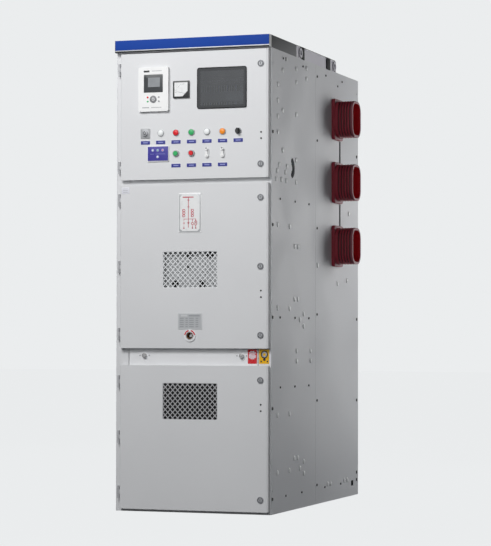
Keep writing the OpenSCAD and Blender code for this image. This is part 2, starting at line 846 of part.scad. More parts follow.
module instrument_door() {
    door([instrument_door_z, instrument_door_top], instrument_hinges, instrument_locks) {
        front_cut(relay_at, relay_size - [14, 16], 3);
        front_cut(window_at, window_size - [24, 24], 8);
        front_cut(display_at, display_size - [8, 8], 3);
        front_hole(meter_at, meter_side / 2 - 4);
        for (i = [-3 : 3]) front_hole(row_1(i), 11.2);
        for (i = [-1, 0]) front_hole(row_2(i), 11.2);
    }
}

// Smoked glass with round corners, laid on the face of the door
module window_glass() {
    color([0.2, 0.22, 0.25, 0.6]) front_plate([face_y - 3, face_y])
        translate(window_at) rounded(window_size, 10);
}

// Protection relay: bezel with screen recess and keys, and the case behind the door
module relay() {
    face = face_y - 15;
    case_size = relay_size - [18, 20];
    screen = [100, 88];
    screen_z = 28;
    key_x = 29;
    color([0.9, 0.9, 0.9]) {
        difference() {
            union() {
                front_plate([face, face_y]) translate(relay_at) rounded(relay_size, 6);
                front_plate([face_y, -600]) translate(relay_at) square(case_size, center = true);
            }
            front_plate([face - 1, face + 2]) translate(relay_at + [0, screen_z]) rounded(screen, 4);
        }
        translate([relay_at[0], 0, relay_at[1] - 49]) {
            rod_y(15, [face - 2, face]);
            for (z = [-10, 10], x = [-key_x, key_x]) translate([x, 0, z]) rod_y(4, [face - 1.5, face]);
        }
    }
}

// Ammeter and position display
module panel_meters() {
    color(dark) {
        front_plate([face_y - 8, face_y]) translate(meter_at) rounded([meter_side, meter_side], 4);
        translate([meter_at[0], 0, meter_at[1]]) rod_y(meter_side / 2 - 5, [face_y, face_y + 60]);
    }
    color([0.2, 0.25, 0.6]) {
        front_plate([face_y - 7, face_y]) translate(display_at) rounded(display_size, 4);
        front_plate([face_y, face_y + 70])
            translate(display_at) square(display_size - [10, 10], center = true);
    }
}

// Five lamps, the fixed rings of switches and buttons, and the bases of the test links
module pilot_devices() {
    color([0.85, 0.85, 0.86]) {
        for (i = [-2 : 2]) translate([row_1(i)[0], 0, row_1_z]) lamp();
        translate([row_1(-3)[0], 0, row_1_z]) difference() {
            union() {
                front_plate([face_y - 3, face_y]) rounded([48, 48], 4);
                rod_y(11, [face_y, face_y + 30]);
            }
            rod_y(8 + clear, [face_y - 9, face_y + 31]);
        }
        translate([row_1(3)[0], 0, row_1_z]) ring(8 + clear);
        for (i = [-1, 0]) translate([row_2(i)[0], 0, row_2_z]) ring(9.3);
        for (i = [1, 2]) translate([row_2(i)[0], 0, row_2_z]) link_base();
    }
    module lamp() {
        rod_y(15, [face_y - 5, face_y]);
        rod_y(11, [face_y, face_y + 34]);
        intersection() {
            translate([0, face_y - 2, 0]) sphere(12);
            rod_y(12, [face_y - 15, face_y - 5]);
        }
    }
    module ring(bore) {
        difference() {
            union() {
                rod_y(15, [face_y - 5, face_y]);
                rod_y(11, [face_y, face_y + 30]);
            }
            rod_y(bore, [face_y - 6, face_y + 31]);
        }
    }
    module link_base() {
        front_plate([face_y - 3, face_y]) stadium([24, 50]);
        translate([0, 0, link_half]) rod_y(6, [face_y - 5, face_y - 3]);
        translate([0, 0, -link_half]) rod_y(3, [face_y - 13, face_y - 3]);
    }
}

// Turning part of a switch: stem in the ring, disc and grip bar
module switch_knob(at, grip) {
    translate([at[0], 0, at[1]]) {
        rod_y(8, [face_y - 6, face_y + 28]);
        rod_y(13, [face_y - 11, face_y - 6]);
        front_plate([face_y - 22, face_y - 11]) rounded(grip, 3);
    }
}

module changeover_switch() {
    color([0.75, 0.76, 0.78]) switch_knob(row_1(-3), [8, 28]);
}

module selector_switch() {
    color(dark) switch_knob(row_1(3), [9, 26]);
}

module push_button(i) {
    translate([row_2(i)[0], 0, row_2_z]) {
        rod_y(9, [face_y - 10, face_y + 24]);
        rod_y(11, [face_y - 13, face_y - 10]);
    }
}

module green_button() {
    color([0.1, 0.55, 0.3]) push_button(-1);
}

module red_button() {
    color([0.75, 0.1, 0.12]) push_button(0);
}

// Link bar that swings about its lower stud
module test_link(i) {
    at = row_2(i);
    color([0.8, 0.82, 0.85]) translate([at[0], 0, at[1] - link_half]) difference() {
        union() {
            front_plate([face_y - 9, face_y - 6]) {
                translate([0, link_half]) square([11, 2 * link_half], center = true);
                circle(9);
                translate([0, 2 * link_half]) circle(8);
            }
            translate([0, 0, 2 * link_half]) rod_y(6, [face_y - 15, face_y - 9]);
        }
        rod_y(3 + clear, [face_y - 10, face_y]);
    }
}

module test_link_left() {
    test_link(1);
}

module test_link_right() {
    test_link(2);
}

module breaker_door() {
    ring_r = 29;
    door([breaker_door_z, breaker_door_top], breaker_hinges, breaker_locks) {
        front_cut([mesh_x, mesh_1_z], mesh_size, 4);
        front_hole([mesh_x, rack_z], rack_port_r);
    }
    color([0.7, 0.1, 0.1]) translate([mesh_x, 0, rack_z]) difference() {
        rod_y(ring_r, [face_y - 3, face_y]);
        rod_y(rack_port_r, [face_y - 4, face_y + 1]);
    }
}

module cable_door() {
    door([cable_door_z, cable_door_top], cable_hinges, cable_locks)
        front_cut([mesh_x, mesh_2_z], mesh_size, 4);
}

// Diamond grille punched from one sheet, behind the window of a door
module mesh_plate(z) {
    border = 9;
    half = mesh_size / 2;
    cell = diamond;
    nx = floor(half[0] / cell[0]);
    nz = floor(half[1] / cell[1]);
    color(zinc) front_plate([face_y + sheet, face_y + sheet + 1.5]) translate([mesh_x, z]) difference() {
        rounded(mesh_size + [2 * border, 2 * border], 4);
        intersection() {
            square(mesh_size - [4, 4], center = true);
            union() {
                for (i = [-nx - 1 : nx + 1], j = [-nz - 1 : nz + 1])
                    translate([i * cell[0], j * cell[1]]) diamond_hole();
                for (i = [-nx - 1 : nx], j = [-nz - 1 : nz])
                    translate([(i + 0.5) * cell[0], (j + 0.5) * cell[1]]) diamond_hole();
            }
        }
    }
    module diamond_hole() {
        w = (cell[0] - strand * 1.4) / 2;
        h = (cell[1] - strand * 1.4) / 2;
        polygon([[w, 0], [0, h], [-w, 0], [0, -h]]);
    }
}

module breaker_mesh() {
    mesh_plate(mesh_1_z);
}

module cable_mesh() {
    mesh_plate(mesh_2_z);
}

// Turning plug of a lock with its key recess and the tongue behind the door
module lock(z) {
    tongue_y = [pan_back + 4, pan_back + 7];
    color(zinc) translate([lock_x, 0, z]) {
        difference() {
            rod_y(lock_r, [face_y - 4, tongue_y[0]]);
            span([-2, 2], [face_y - 5, face_y + 2], [-6, 6]);
        }
        front_plate(tongue_y) {
            translate([-8, -9]) square([16, tongue_len + 1]);
            translate([0, tongue_len - 8]) circle(8);
        }
        rod_y(7, [tongue_y[1], tongue_y[1] + 5]);
    }
}

module instrument_lock_top() { lock(instrument_locks[1]); }
module instrument_lock_bottom() { lock(instrument_locks[0]); }
module breaker_lock_top() { lock(breaker_locks[2]); }
module breaker_lock_middle() { lock(breaker_locks[1]); }
module breaker_lock_bottom() { lock(breaker_locks[0]); }
module cable_lock_top() { lock(cable_locks[1]); }
module cable_lock_bottom() { lock(cable_locks[0]); }

// Cross-beam that latches to the cabinet and carries the racking screw
module truck_beam() {
    z = [800, 880];
    slot = [124, 248];
    color(zinc) difference() {
        union() {
            span([-330, 330], beam_y, z);
            both_sides() span([rail_x[0] + 1, 330], beam_y, [rail_top, z[0]]);
        }
        translate([mesh_x, 0, rack_z]) rod_y(9 + clear, [beam_y[0] - 1, beam_y[1] + 1]);
        both_sides() span(slot, [beam_y[0] - 1, beam_y[1] + 1], [833, 847]);
    }
}

// Latch handle: grip in front of the beam, tongue behind it that reaches into the rail bracket
module beam_handle() {
    z = 840;
    grip_y = -726;
    color(dark) {
        translate([0, grip_y, z]) rod_x(7, [150, 240]);
        for (x = [[228, 240], [150, 162]]) span(x, [grip_y, beam_y[1] + 2], [z - 6, z + 6]);
        span([150, 345], [beam_y[1] + 0.5, beam_y[1] + 6], [z - 6, z + 6]);
    }
}

module beam_handle_left() {
    mirror([1, 0, 0]) beam_handle();
}

module beam_handle_right() {
    beam_handle();
}

// Racking screw with a square end for the crank
module racking_screw() {
    square_side = 12;
    thread = [beam_y[1] + 0.5, -420];
    pitch = 10;
    turns = floor((thread[1] - thread[0]) / pitch) - 1;
    color([0.7, 0.7, 0.68]) translate([mesh_x, 0, rack_z]) {
        rod_y(9, [beam_y[0], thread[0]]);
        span([-square_side / 2, square_side / 2], [beam_y[0] - 16, beam_y[0]],
            [-square_side / 2, square_side / 2]);
        rod_y(screw_r - 2, thread);
        for (i = [0 : turns]) rod_y(screw_r, [thread[0] + i * pitch, thread[0] + i * pitch + pitch / 2]);
    }
}

// Wheeled chassis with the screw nut, and the mechanism box on top
module truck_frame() {
    wall = 4;
    inner_x = chassis_x - wall;
    box_half = 245;
    box_top = 1310;
    color(zinc) difference() {
        union() {
            span([-chassis_x, chassis_x], chassis_y, [chassis_z[1] - wall, chassis_z[1]]);
            both_sides() span([inner_x, chassis_x], chassis_y, chassis_z);
            for (y = [chassis_y[0], chassis_y[1] - wall])
                span([-inner_x - 1, inner_x + 1], [y, y + wall], chassis_z);
            span([mesh_x - 20, mesh_x + 20], [chassis_y[0], chassis_y[0] + 24], [rack_z - 20, chassis_z[1]]);
        }
        translate([mesh_x, 0, rack_z]) rod_y(screw_r + 0.5, [chassis_y[0] - 1, chassis_y[0] + 25]);
        for (y = wheel_y) translate([0, y, wheel_z]) rod_x(6 + clear, [-chassis_x - 1, chassis_x + 1]);
    }
    color([0.82, 0.83, 0.84]) difference() {
        span([-box_half, box_half], box_y, [chassis_z[1], box_top]);
        for (x = button_x) translate([x, 0, button_z]) rod_y(10.4, [box_y[0] - 1, box_y[0] + 30]);
        span([-36, -12], [box_y[0] - 1, box_y[0] + 4], [1181, 1193]);
        for (x = crank_x) translate([x, 0, crank_z]) rod_y(crank_r, [box_y[0] - 1, box_y[0] + 30]);
    }
}

module truck_button(x) {
    translate([x, 0, button_z]) {
        rod_y(10, [box_y[0] - 8, box_y[0] + 20]);
        rod_y(12, [box_y[0] - 12, box_y[0] - 8]);
    }
}

module close_button() {
    color([0.1, 0.55, 0.3]) truck_button(button_x[0]);
}

module open_button() {
    color([0.75, 0.1, 0.12]) truck_button(button_x[1]);
}

// Cast poles: ribbed columns with a boss for each contact arm
module truck_poles() {
    z = [985, 1435];
    shed = 8;
    color(epoxy) for (x = phases) translate([x, pole_y, 0]) {
        rotate_extrude() polygon(concat([[0, z[0]], [pole_r - shed, z[0]]],
            [for (i = [0 : 4], p = [[pole_r - shed, 30], [pole_r, 34], [pole_r, 42], [pole_r - shed, 50]])
                [p[0], lower_z + 20 + i * 40 + p[1]]],
            [[pole_r - shed, z[1]], [0, z[1]]]));
        for (h = [lower_z, upper_z]) translate([0, 0, h]) rod_y(44, [0, arm_start - pole_y]);
        span([-60, 60], [box_y[1] - pole_y, -40], [1010, 1050]);
        span([-60, 60], [box_y[1] - pole_y, -40], [1230, 1270]);
    }
}

// Six insulated arms, each ending in a ring of contact fingers
module contact_arms() {
    finger_gap = 2;
    color(copper) for (x = phases, h = [lower_z, upper_z]) translate([x, 0, h]) {
        rod_y(arm_r, [arm_start, arm_tip - tulip_len]);
        difference() {
            rod_y(arm_r - 2, [arm_tip - tulip_len, arm_tip]);
            rod_y(pin_r + 1, [arm_tip - tulip_len + 8, arm_tip + 1]);
            for (a = [0 : 45 : 135]) rotate([0, a, 0])
                span([-arm_r, arm_r], [arm_tip - tulip_len + 12, arm_tip + 1], finger_gap * [-0.5, 0.5]);
        }
    }
}

// Axle with a wheel at each end
module wheel_set(y) {
    tread = 10;
    color(dark) translate([0, y, wheel_z]) {
        rod_x(6, [-chassis_x - 4, chassis_x + 4]);
        both_sides() {
            rod_x(wheel_r, [chassis_x + 4, chassis_x + 4 + tread]);
            rod_x(9, [chassis_x + 1, chassis_x + 4]);
        }
    }
}

module front_wheels() {
    wheel_set(wheel_y[0]);
}

module rear_wheels() {
    wheel_set(wheel_y[1]);
}

// Earthed metal shutters in front of the contact boxes
module upper_shutter() {
    color(zinc) span([-345, 345], [shutter_y, shutter_y + sheet], [upper_z - 70, upper_z + 90]);
}

module lower_shutter() {
    color(zinc) span([-345, 345], [shutter_y, shutter_y + sheet], [lower_z - 80, lower_z + 70]);
}

floor_frame();
front_frame();
left_panels();
right_front_panel();
right_rear_panel();
rear_covers();
roof_frame();
lintel();
relief_duct();
compartment_walls();
partition_wall();
contact_boxes();
busbars();
cable_bars();
wall_bushings();
current_transformers();
earthing_base();
earthing_blades();
earthing_drive();
frame_hinges();
terminal_rails();
sill_cover();
flap_breaker();
flap_busbar();
flap_cable();
truck_beam();
beam_handle_left();
beam_handle_right();
racking_screw();
truck_frame();
truck_poles();
contact_arms();
front_wheels();
rear_wheels();
close_button();
open_button();
upper_shutter();
lower_shutter();
instrument_door();
window_glass();
relay();
panel_meters();
pilot_devices();
changeover_switch();
selector_switch();
green_button();
red_button();
test_link_left();
test_link_right();
breaker_door();
breaker_mesh();
cable_door();
cable_mesh();
instrument_lock_top();
instrument_lock_bottom();
breaker_lock_top();
breaker_lock_middle();
breaker_lock_bottom();
cable_lock_top();
cable_lock_bottom();
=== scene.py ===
import math

import bmesh
import bpy
from mathutils import Matrix, Vector


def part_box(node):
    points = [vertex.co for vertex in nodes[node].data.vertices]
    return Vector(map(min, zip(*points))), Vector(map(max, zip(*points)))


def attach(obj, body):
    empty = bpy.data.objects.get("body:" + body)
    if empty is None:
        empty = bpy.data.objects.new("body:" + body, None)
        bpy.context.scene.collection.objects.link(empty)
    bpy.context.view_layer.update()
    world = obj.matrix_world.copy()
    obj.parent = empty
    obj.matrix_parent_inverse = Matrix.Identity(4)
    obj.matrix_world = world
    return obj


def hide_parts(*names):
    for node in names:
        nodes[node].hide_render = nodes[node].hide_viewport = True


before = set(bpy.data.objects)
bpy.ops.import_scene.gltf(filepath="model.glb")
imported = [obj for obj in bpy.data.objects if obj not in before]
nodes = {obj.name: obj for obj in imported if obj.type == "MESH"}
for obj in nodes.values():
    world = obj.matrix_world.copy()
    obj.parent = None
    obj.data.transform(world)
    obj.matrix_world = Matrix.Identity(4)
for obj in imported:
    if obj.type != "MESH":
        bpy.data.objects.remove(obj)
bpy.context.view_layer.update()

# Sizes in this script are in millimetres and become metres when a piece is finished
MM = 0.001


def corners(name):
    """Low and high corner of a CAD node's box."""
    return [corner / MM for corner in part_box(name)]


FACE = corners("window_glass")[1].y
STRIP = corners("sill_cover")[1].y - 2
HALF_WIDTH = -corners("left_panels")[0].x
REAR = corners("left_panels")[1].y
PANEL_TOP = corners("left_panels")[1].z
LINTEL_LOW, LINTEL_HIGH = corners("lintel")
DEVICE_PITCH = 80
ROW_1 = 1840
ROW_2 = 1739
DOOR_MIDDLE = -6
PORT_Z = 855
BUSHING_HEIGHTS = (1325, 1657, 1989)
BUSHING_Y = 336
ARC_SLOT = (-419, 1681)

# Camera, placed as the photograph was taken
PHOTO_HEIGHT = 546
PHOTO_FOCAL = 2160
FILM = 36
CAMERA_PLACE = (3.695, -10.513, 0.854)
camera_data = bpy.data.cameras.new("camera")
camera_data.sensor_width = FILM
camera_data.lens = PHOTO_FOCAL / PHOTO_HEIGHT * FILM
camera_data.clip_end = 200
camera = bpy.data.objects.new("camera", camera_data)
azimuth, elevation, roll = (math.radians(angle) for angle in (19.29, -1.67, 0.09))
back = Vector((math.sin(azimuth) * math.cos(elevation), -math.cos(azimuth) * math.cos(elevation),
               math.sin(elevation)))
level = Vector((math.cos(azimuth), math.sin(azimuth), 0))
upright = back.cross(level)
right = level * math.cos(roll) + upright * math.sin(roll)
up = upright * math.cos(roll) - level * math.sin(roll)
camera.matrix_world = Matrix.Translation(CAMERA_PLACE) @ Matrix((right, up, back)).transposed().to_4x4()
bpy.context.scene.collection.objects.link(camera)
bpy.context.scene.camera = camera
bpy.context.scene.view_settings.view_transform = "Standard"


def linear(colour):
    """Turns an sRGB hex colour into the linear one that a socket takes."""
    parts = [int(colour[i:i + 2], 16) / 255 for i in (1, 3, 5)]
    return [c / 12.92 if c <= 0.04045 else ((c + 0.055) / 1.055) ** 2.4 for c in parts] + [1.0]


def add(tree, kind, sockets=None, **settings):
    """Adds a node; sockets maps an input's name or number to a value or to another node's output."""
    made = tree.nodes.new(kind)
    for name, value in settings.items():
        setattr(made, name, value)
    for key, value in (sockets or {}).items():
        if isinstance(value, bpy.types.NodeSocket):
            tree.links.new(value, made.inputs[key])
        else:
            made.inputs[key].default_value = value
    return made


def blend(tree, share, first, second):
    """Mixes two colours and returns the socket that holds the result."""
    return add(tree, "ShaderNodeMix", {0: share, 6: first, 7: second}, data_type="RGBA").outputs[2]


def emboss(tree, height, depth):
    """Raises a finish by a height socket; depth is in millimetres."""
    bump = add(tree, "ShaderNodeBump", {"Height": height, "Distance": depth * MM, "Strength": 1.0})
    tree.links.new(bump.outputs[0], tree.nodes["Principled BSDF"].inputs["Normal"])


def mix_shaders(tree, output, share, first, second):
    """Sends a mix of two shader nodes to an output node."""
    mixed = add(tree, "ShaderNodeMixShader", {0: share, 1: first.outputs[0], 2: second.outputs[0]})
    tree.links.new(mixed.outputs[0], tree.nodes[output].inputs["Surface"])


def surface(name, tones, patch, roughness=(0.5, 0.6), metallic=0.0, grain=1.0, relief=0.02,
            stretch=(1, 1, 1), **more):
    """A finish: its colour wanders between two tones over patches of a size, with a fine grain in relief."""
    material = bpy.data.materials.new(name)
    material.use_nodes = True
    tree = material.node_tree
    shader = tree.nodes["Principled BSDF"]
    shader.inputs["Metallic"].default_value = metallic
    for socket, value in more.items():
        shader.inputs[socket.replace("_", " ")].default_value = value
    place = add(tree, "ShaderNodeTexCoord").outputs["Object"]
    patches = add(tree, "ShaderNodeTexNoise", {"Vector": place, "Scale": 1 / (patch * MM), "Detail": 4.0})
    colour = blend(tree, patches.outputs["Fac"], linear(tones[0]), linear(tones[1]))
    tree.links.new(colour, shader.inputs["Base Color"])
    spread = add(tree, "ShaderNodeMapRange", {0: patches.outputs["Fac"], 1: 0.3, 2: 0.7,
                                              3: roughness[0], 4: roughness[1]})
    tree.links.new(spread.outputs[0], shader.inputs["Roughness"])
    if grain:
        drawn = add(tree, "ShaderNodeMapping", {"Vector": place, "Scale": stretch})
        fine = add(tree, "ShaderNodeTexNoise", {"Vector": drawn.outputs[0], "Scale": 1 / (grain * MM),
                                                "Detail": 2.0})
        emboss(tree, fine.outputs["Fac"], relief)
    return material


# Polyester powder coat on folded sheet: even light grey with a faint orange peel, drawn at 3 mm
powder_coat = surface("powder_coat_light_grey", ("#D4D5D7", "#DADBDD"), 260, grain=3, relief=0.03)
# The same coat on the side sheets, a shade darker and flatter; the darker tone is painted shade
side_coat = surface("powder_coat_side_grey", ("#BFC1C5", "#C9CBCF"), 300, grain=3, relief=0.03)
# The sill cover's coat, a shade paler than the doors'
sill_coat = surface("powder_coat_sill_grey", ("#DFE0E2", "#E5E6E8"), 120, grain=3, relief=0.03)
# Dark grey enamel used as painted shade: on the lintel's end strips at its corners and in the throats of the
# lock barrels
dark_coat = surface("enamel_dark_grey", ("#4E5153", "#5C5F61"), 200, (0.45, 0.6), grain=3, relief=0.03)
# Pale lilac-grey coat of the relief duct
duct_coat = surface("powder_coat_duct_grey", ("#BCBAC6", "#C5C3CE"), 200, (0.4, 0.5), grain=3, relief=0.03)
# Signal blue coat of the lintel band
blue_coat = surface("enamel_signal_blue", ("#123D93", "#16429B"), 150, (0.7, 0.8), grain=3,
                    Specular_IOR_Level=0.25)
# Anodised aluminium trim: satin, with fine lines along its length
trim_aluminium = surface("anodised_aluminium", ("#A9ABAE", "#BDBFC1"), 30, (0.45, 0.55), metallic=0.4,
                         grain=1.5, stretch=(0.05, 1, 1))
# Satin nickel plate: knob caps, port ring and small screws
nickel = surface("satin_nickel_plate", ("#9A9A9A", "#AFAEAE"), 12, (0.4, 0.5), metallic=0.6, grain=1.2,
                 relief=0.01)
# Die-cast zinc without plate: dull grey screws and rims
dull_zinc = surface("die_cast_zinc", ("#6C6D70", "#7A7B7E"), 10, metallic=0.35, grain=1.2)
# Satin chrome plate on the bezels of lamps and buttons: grey and soft
satin_chrome = surface("satin_chrome_plate", ("#9C9EA2", "#ACAEB1"), 10, (0.4, 0.5), metallic=0.3, grain=1.2,
                       relief=0.01)
# Barrel of the quarter-turn locks: chromated zinc, mid grey and satin
lock_zinc = surface("chromated_zinc", ("#84858A", "#94959A"), 10, (0.4, 0.5), metallic=0.3, grain=1.2)
# Hinge knuckles of plated steel, pale and even
hinge_steel = surface("plated_hinge_steel", ("#A8A9AC", "#B4B5B8"), 12, metallic=0.15, grain=1.2)
# Pressed steel rivets in a near-white coat, paler than the side sheets: a painted highlight for the light on
# their crowns
rivet_coat = surface("coated_rivet", ("#EDEEF0", "#F4F5F6"), 12, (0.4, 0.5), grain=2.0)
# Phosphor bronze bush of the racking screw: warm brown metal
bronze = surface("phosphor_bronze", ("#7A5230", "#90653C"), 10, (0.35, 0.45), metallic=0.7, relief=0.01)
# Bright zinc plate with clear passivation on the screw's square end
bright_zinc = surface("bright_zinc_plate", ("#C9CBCE", "#DEE0E2"), 8, (0.3, 0.4), metallic=0.3, relief=0.01)
# Turned and ground steel: shafts, screw and wheels
ground_steel = surface("ground_steel", ("#8E8F90", "#A6A7A8"), 15, (0.25, 0.4), metallic=1.0,
                       stretch=(1, 6, 1))
# Black-oxide steel screws
black_oxide = surface("black_oxide_steel", ("#1C1D1E", "#28292A"), 6, metallic=0.2)
# Bare electrolytic copper bar, drawn and slightly tarnished in patches
bar_copper = surface("drawn_copper_bar", ("#B9714A", "#D08D66"), 60, (0.3, 0.5), metallic=1.0, grain=1.5,
                     stretch=(1, 1, 0.1))
# Silver-plated copper contacts: white metal with a grey bloom
silver_plate = surface("silver_plated_copper", ("#B8B6B0", "#D6D4CE"), 25, (0.22, 0.4), metallic=1.0,
                       relief=0.01)
# Cycloaliphatic epoxy casting, oxide red: smooth, semi-gloss, faintly cloudy
cast_epoxy = surface("cast_epoxy_oxide_red", ("#8C2433", "#9A2D3D"), 45, grain=4, relief=0.05,
                     Specular_IOR_Level=0.35)
# The same casting, paler and duller on the flange's step and the rim: painted sheen for the light these edges
# catch
painted_sheen_epoxy = surface("cast_epoxy_painted_sheen", ("#6E303B", "#7C3D48"), 12, (0.55, 0.65), grain=3, relief=0.05)
# The bore: a deeper, glossier and brighter red, which is painted light on its inner wall
bore_epoxy = surface("cast_epoxy_bore_painted_light", ("#BC1A27", "#CA2431"), 30, (0.3, 0.4), grain=4, relief=0.05)
# The same casting between the sheds, painted dark as painted shade
shade_epoxy = surface("cast_epoxy_between_sheds", ("#4A141D", "#561A24"), 30, (0.6, 0.7), grain=4,
                      relief=0.05)
# Moulded ABS, white, with a spark-eroded texture drawn at 1 mm
white_abs = surface("moulded_abs_white", ("#E6E7E7", "#EEEEEE"), 60, (0.4, 0.5), relief=0.015)
# Moulded ABS, black
black_abs = surface("moulded_abs_black", ("#1B1C1E", "#26272A"), 40, (0.35, 0.5), relief=0.015)
# Moulded ABS, grey, for plates and link bases
grey_abs = surface("moulded_abs_grey", ("#9C9EA0", "#ABADAF"), 40, (0.4, 0.5), relief=0.015)
# Printed polycarbonate face of the position display
violet_film = surface("polycarbonate_film_violet", ("#3B3690", "#433E9A"), 40, (0.45, 0.55), grain=2.0,
                      relief=0.01)
# Engraved two-layer laminate tags, blue over white
blue_laminate = surface("engraving_laminate_blue", ("#282E80", "#30378B"), 20, (0.45, 0.55), relief=0.01)
# Its engraved middle, where blue and white mix
engraved_laminate = surface("engraving_laminate_cut", ("#8088C4", "#9CA2D2"), 4, (0.45, 0.55))
white_laminate = surface("engraving_laminate_white", ("#DADBE4", "#E6E7EE"), 20, (0.4, 0.5), relief=0.01)
# Vitreous enamel sign plates: hard gloss colour
red_enamel = surface("enamel_sign_red", ("#C4141F", "#D01C26"), 30, (0.22, 0.32), grain=4)
yellow_enamel = surface("enamel_sign_yellow", ("#E0A912", "#E8B41C"), 30, (0.22, 0.32), grain=4)
white_enamel = surface("enamel_sign_white", ("#E4E5E6", "#EDEEEE"), 30, (0.25, 0.35), grain=4)
# Screen-printed red ink on the mimic plate
red_ink = surface("screen_print_red", ("#B63B4A", "#C24856"), 10, relief=0.005)
# Etched aluminium of the rating plate: matt grey
etched_aluminium = surface("etched_aluminium", ("#C2C4C6", "#CCCED0"), 8, metallic=0.05, relief=0.03)
# The plate's etched ground, a shade darker
etched_field = surface("etched_field_grey", ("#AEB0B3", "#B8BABD"), 8, metallic=0.05, relief=0.03)
# Ink-filled fields of the plate
etched_line = surface("etched_line_grey", ("#93969A", "#9FA2A5"), 6, metallic=0.1)
# Smoked acrylic of screens: near black, polished
dark_acrylic = surface("smoked_acrylic", ("#34373A", "#3F4245"), 60, (0.35, 0.45), grain=30)
# Liquid-crystal cell behind the acrylic: grey-green and dull
crystal_cell = surface("liquid_crystal_cell", ("#787C80", "#8C9094"), 25, (0.4, 0.5), grain=1.5,
                       relief=0.005)
# EPDM gaskets, lips and straps: matt black rubber
rubber = surface("epdm_rubber", ("#17181A", "#202124"), 30, (0.75, 0.85), grain=1.5, relief=0.03,
                 Specular_IOR_Level=0.2)
# Polyamide terminal bodies: mid grey
polyamide = surface("polyamide_grey", ("#5A5C5E", "#686A6C"), 20)
# PVC wiring duct, light grey
duct_pvc = surface("pvc_duct_grey", ("#8F969A", "#9BA1A5"), 50, grain=1.5)
# PVC insulation of the control wires, black and blue
black_pvc = surface("pvc_insulation_black", ("#1C1D1F", "#252628"), 15, (0.4, 0.5), relief=0.005)
blue_pvc = surface("pvc_insulation_blue", ("#20458C", "#28509A"), 15, (0.4, 0.5), relief=0.005)
# Pale coat of the breaker's mechanism cover, as seen through the grille
truck_coat = surface("enamel_truck_grey", ("#B2B4B6", "#BCBEC0"), 150, grain=3, relief=0.03)
# Reticulated polyurethane foam, black, in the vent of the cable compartment: a dark sheet that is painted
# shade for the compartment's dark inside
shade_foam = surface("foam_black_painted_shade", ("#101112", "#1B1C1D"), 3, (0.9, 0.95), grain=2.0, relief=0.6)


def acrylic_cap(name, colour, glow):
    """Moulded acrylic lens over a lamp: clear colour, satin, with a little of its own light."""
    return surface(name, (colour, colour), 8, (0.35, 0.42), grain=2.5, relief=0.06,
                   Emission_Color=linear(colour), Emission_Strength=glow)


lens = {
    "white": acrylic_cap("acrylic_lens_clear", "#E9ECEC", 0.02),
    "red": acrylic_cap("acrylic_lens_red", "#D3101F", 0.05),
    "green": acrylic_cap("acrylic_lens_green", "#28A65C", 0.05),
    "orange": acrylic_cap("acrylic_lens_orange", "#EE8A10", 0.05),
    "pale_green": acrylic_cap("acrylic_lens_pale_green", "#9CC4BC", 0.03),
    "pink": acrylic_cap("acrylic_lens_pink", "#CC88A4", 0.03),
}


def galvanised(name, tones, cell, roughness):
    """Hot-dip galvanised sheet: dull zinc with spangles, drawn about 14 mm wide."""
    material = surface(name, tones, 120, roughness, metallic=0.85, grain=0)
    tree = material.node_tree
    place = add(tree, "ShaderNodeTexCoord").outputs["Object"]
    spangle = add(tree, "ShaderNodeTexVoronoi", {"Vector": place, "Scale": 1 / (cell * MM)})
    shade = blend(tree, spangle.outputs["Color"], linear(tones[0]), linear(tones[1]))
    tree.links.new(shade, tree.nodes["Principled BSDF"].inputs["Base Color"])
    emboss(tree, spangle.outputs["Distance"], 0.05)
    return material


zinc_sheet = galvanised("hot_dip_galvanised", ("#8D9093", "#A9ACAE"), 14, (0.42, 0.55))
# Expanded steel mesh with a pale coat: even strands, slightly rough
expanded_metal = surface("coated_expanded_metal", ("#A9A9AC", "#B3B3B6"), 40, grain=2.0, relief=0.05)
# The upper grille's mesh: the same coat in a paler tone
pale_mesh = surface("coated_expanded_metal_pale", ("#DEE0E2", "#E6E8EA"), 40, grain=2.0, relief=0.05)


# Painted light on the trough's painted shade: a direction across its slope, and where along it the paler
# blend starts and ends
PAINTED_LIGHT_ALONG = (0, 1.67, -6.7)
PAINTED_LIGHT_START, PAINTED_LIGHT_END = -16.5, -15.6


def shade_painted_enamel():
    """Enamel of the wire trough, dark grey as painted shade, and painted paler towards the rear and the
    bottom as painted light.
    """
    material = surface("enamel_painted_shade_grey", ("#3E4143", "#4A4D4F"), 200, (0.65, 0.75), grain=3, relief=0.03,
                       Specular_IOR_Level=0.15)
    tree = material.node_tree
    tone = tree.nodes["Principled BSDF"].inputs["Base Color"]
    place = add(tree, "ShaderNodeTexCoord").outputs["Object"]
    along = add(tree, "ShaderNodeVectorMath", {0: place, 1: PAINTED_LIGHT_ALONG}, operation="DOT_PRODUCT")
    painted_light_share = add(tree, "ShaderNodeMapRange", {0: along.outputs["Value"], 1: PAINTED_LIGHT_START, 2: PAINTED_LIGHT_END,
                                            3: 0.0, 4: 0.8})
    tree.links.new(blend(tree, painted_light_share.outputs[0], tone.links[0].from_socket, linear("#A2A4A6")), tone)
    return material


trough_coat = shade_painted_enamel()


# Share of the window's own surface; the rest of the light goes straight through
WINDOW_SHARE = 0.2


def smoked_window():
    """Cast acrylic sheet, smoked: a dark polished face that lets part of the light straight through."""
    material = surface("cast_acrylic_smoked", ("#96989B", "#A6A8AB"), 90, (0.12, 0.18), grain=0)
    tree = material.node_tree
    clear = add(tree, "ShaderNodeBsdfTransparent", {"Color": linear("#F0F2F4")})
    mix_shaders(tree, "Material Output", WINDOW_SHARE, clear, tree.nodes["Principled BSDF"])
    return material


window_acrylic = smoked_window()

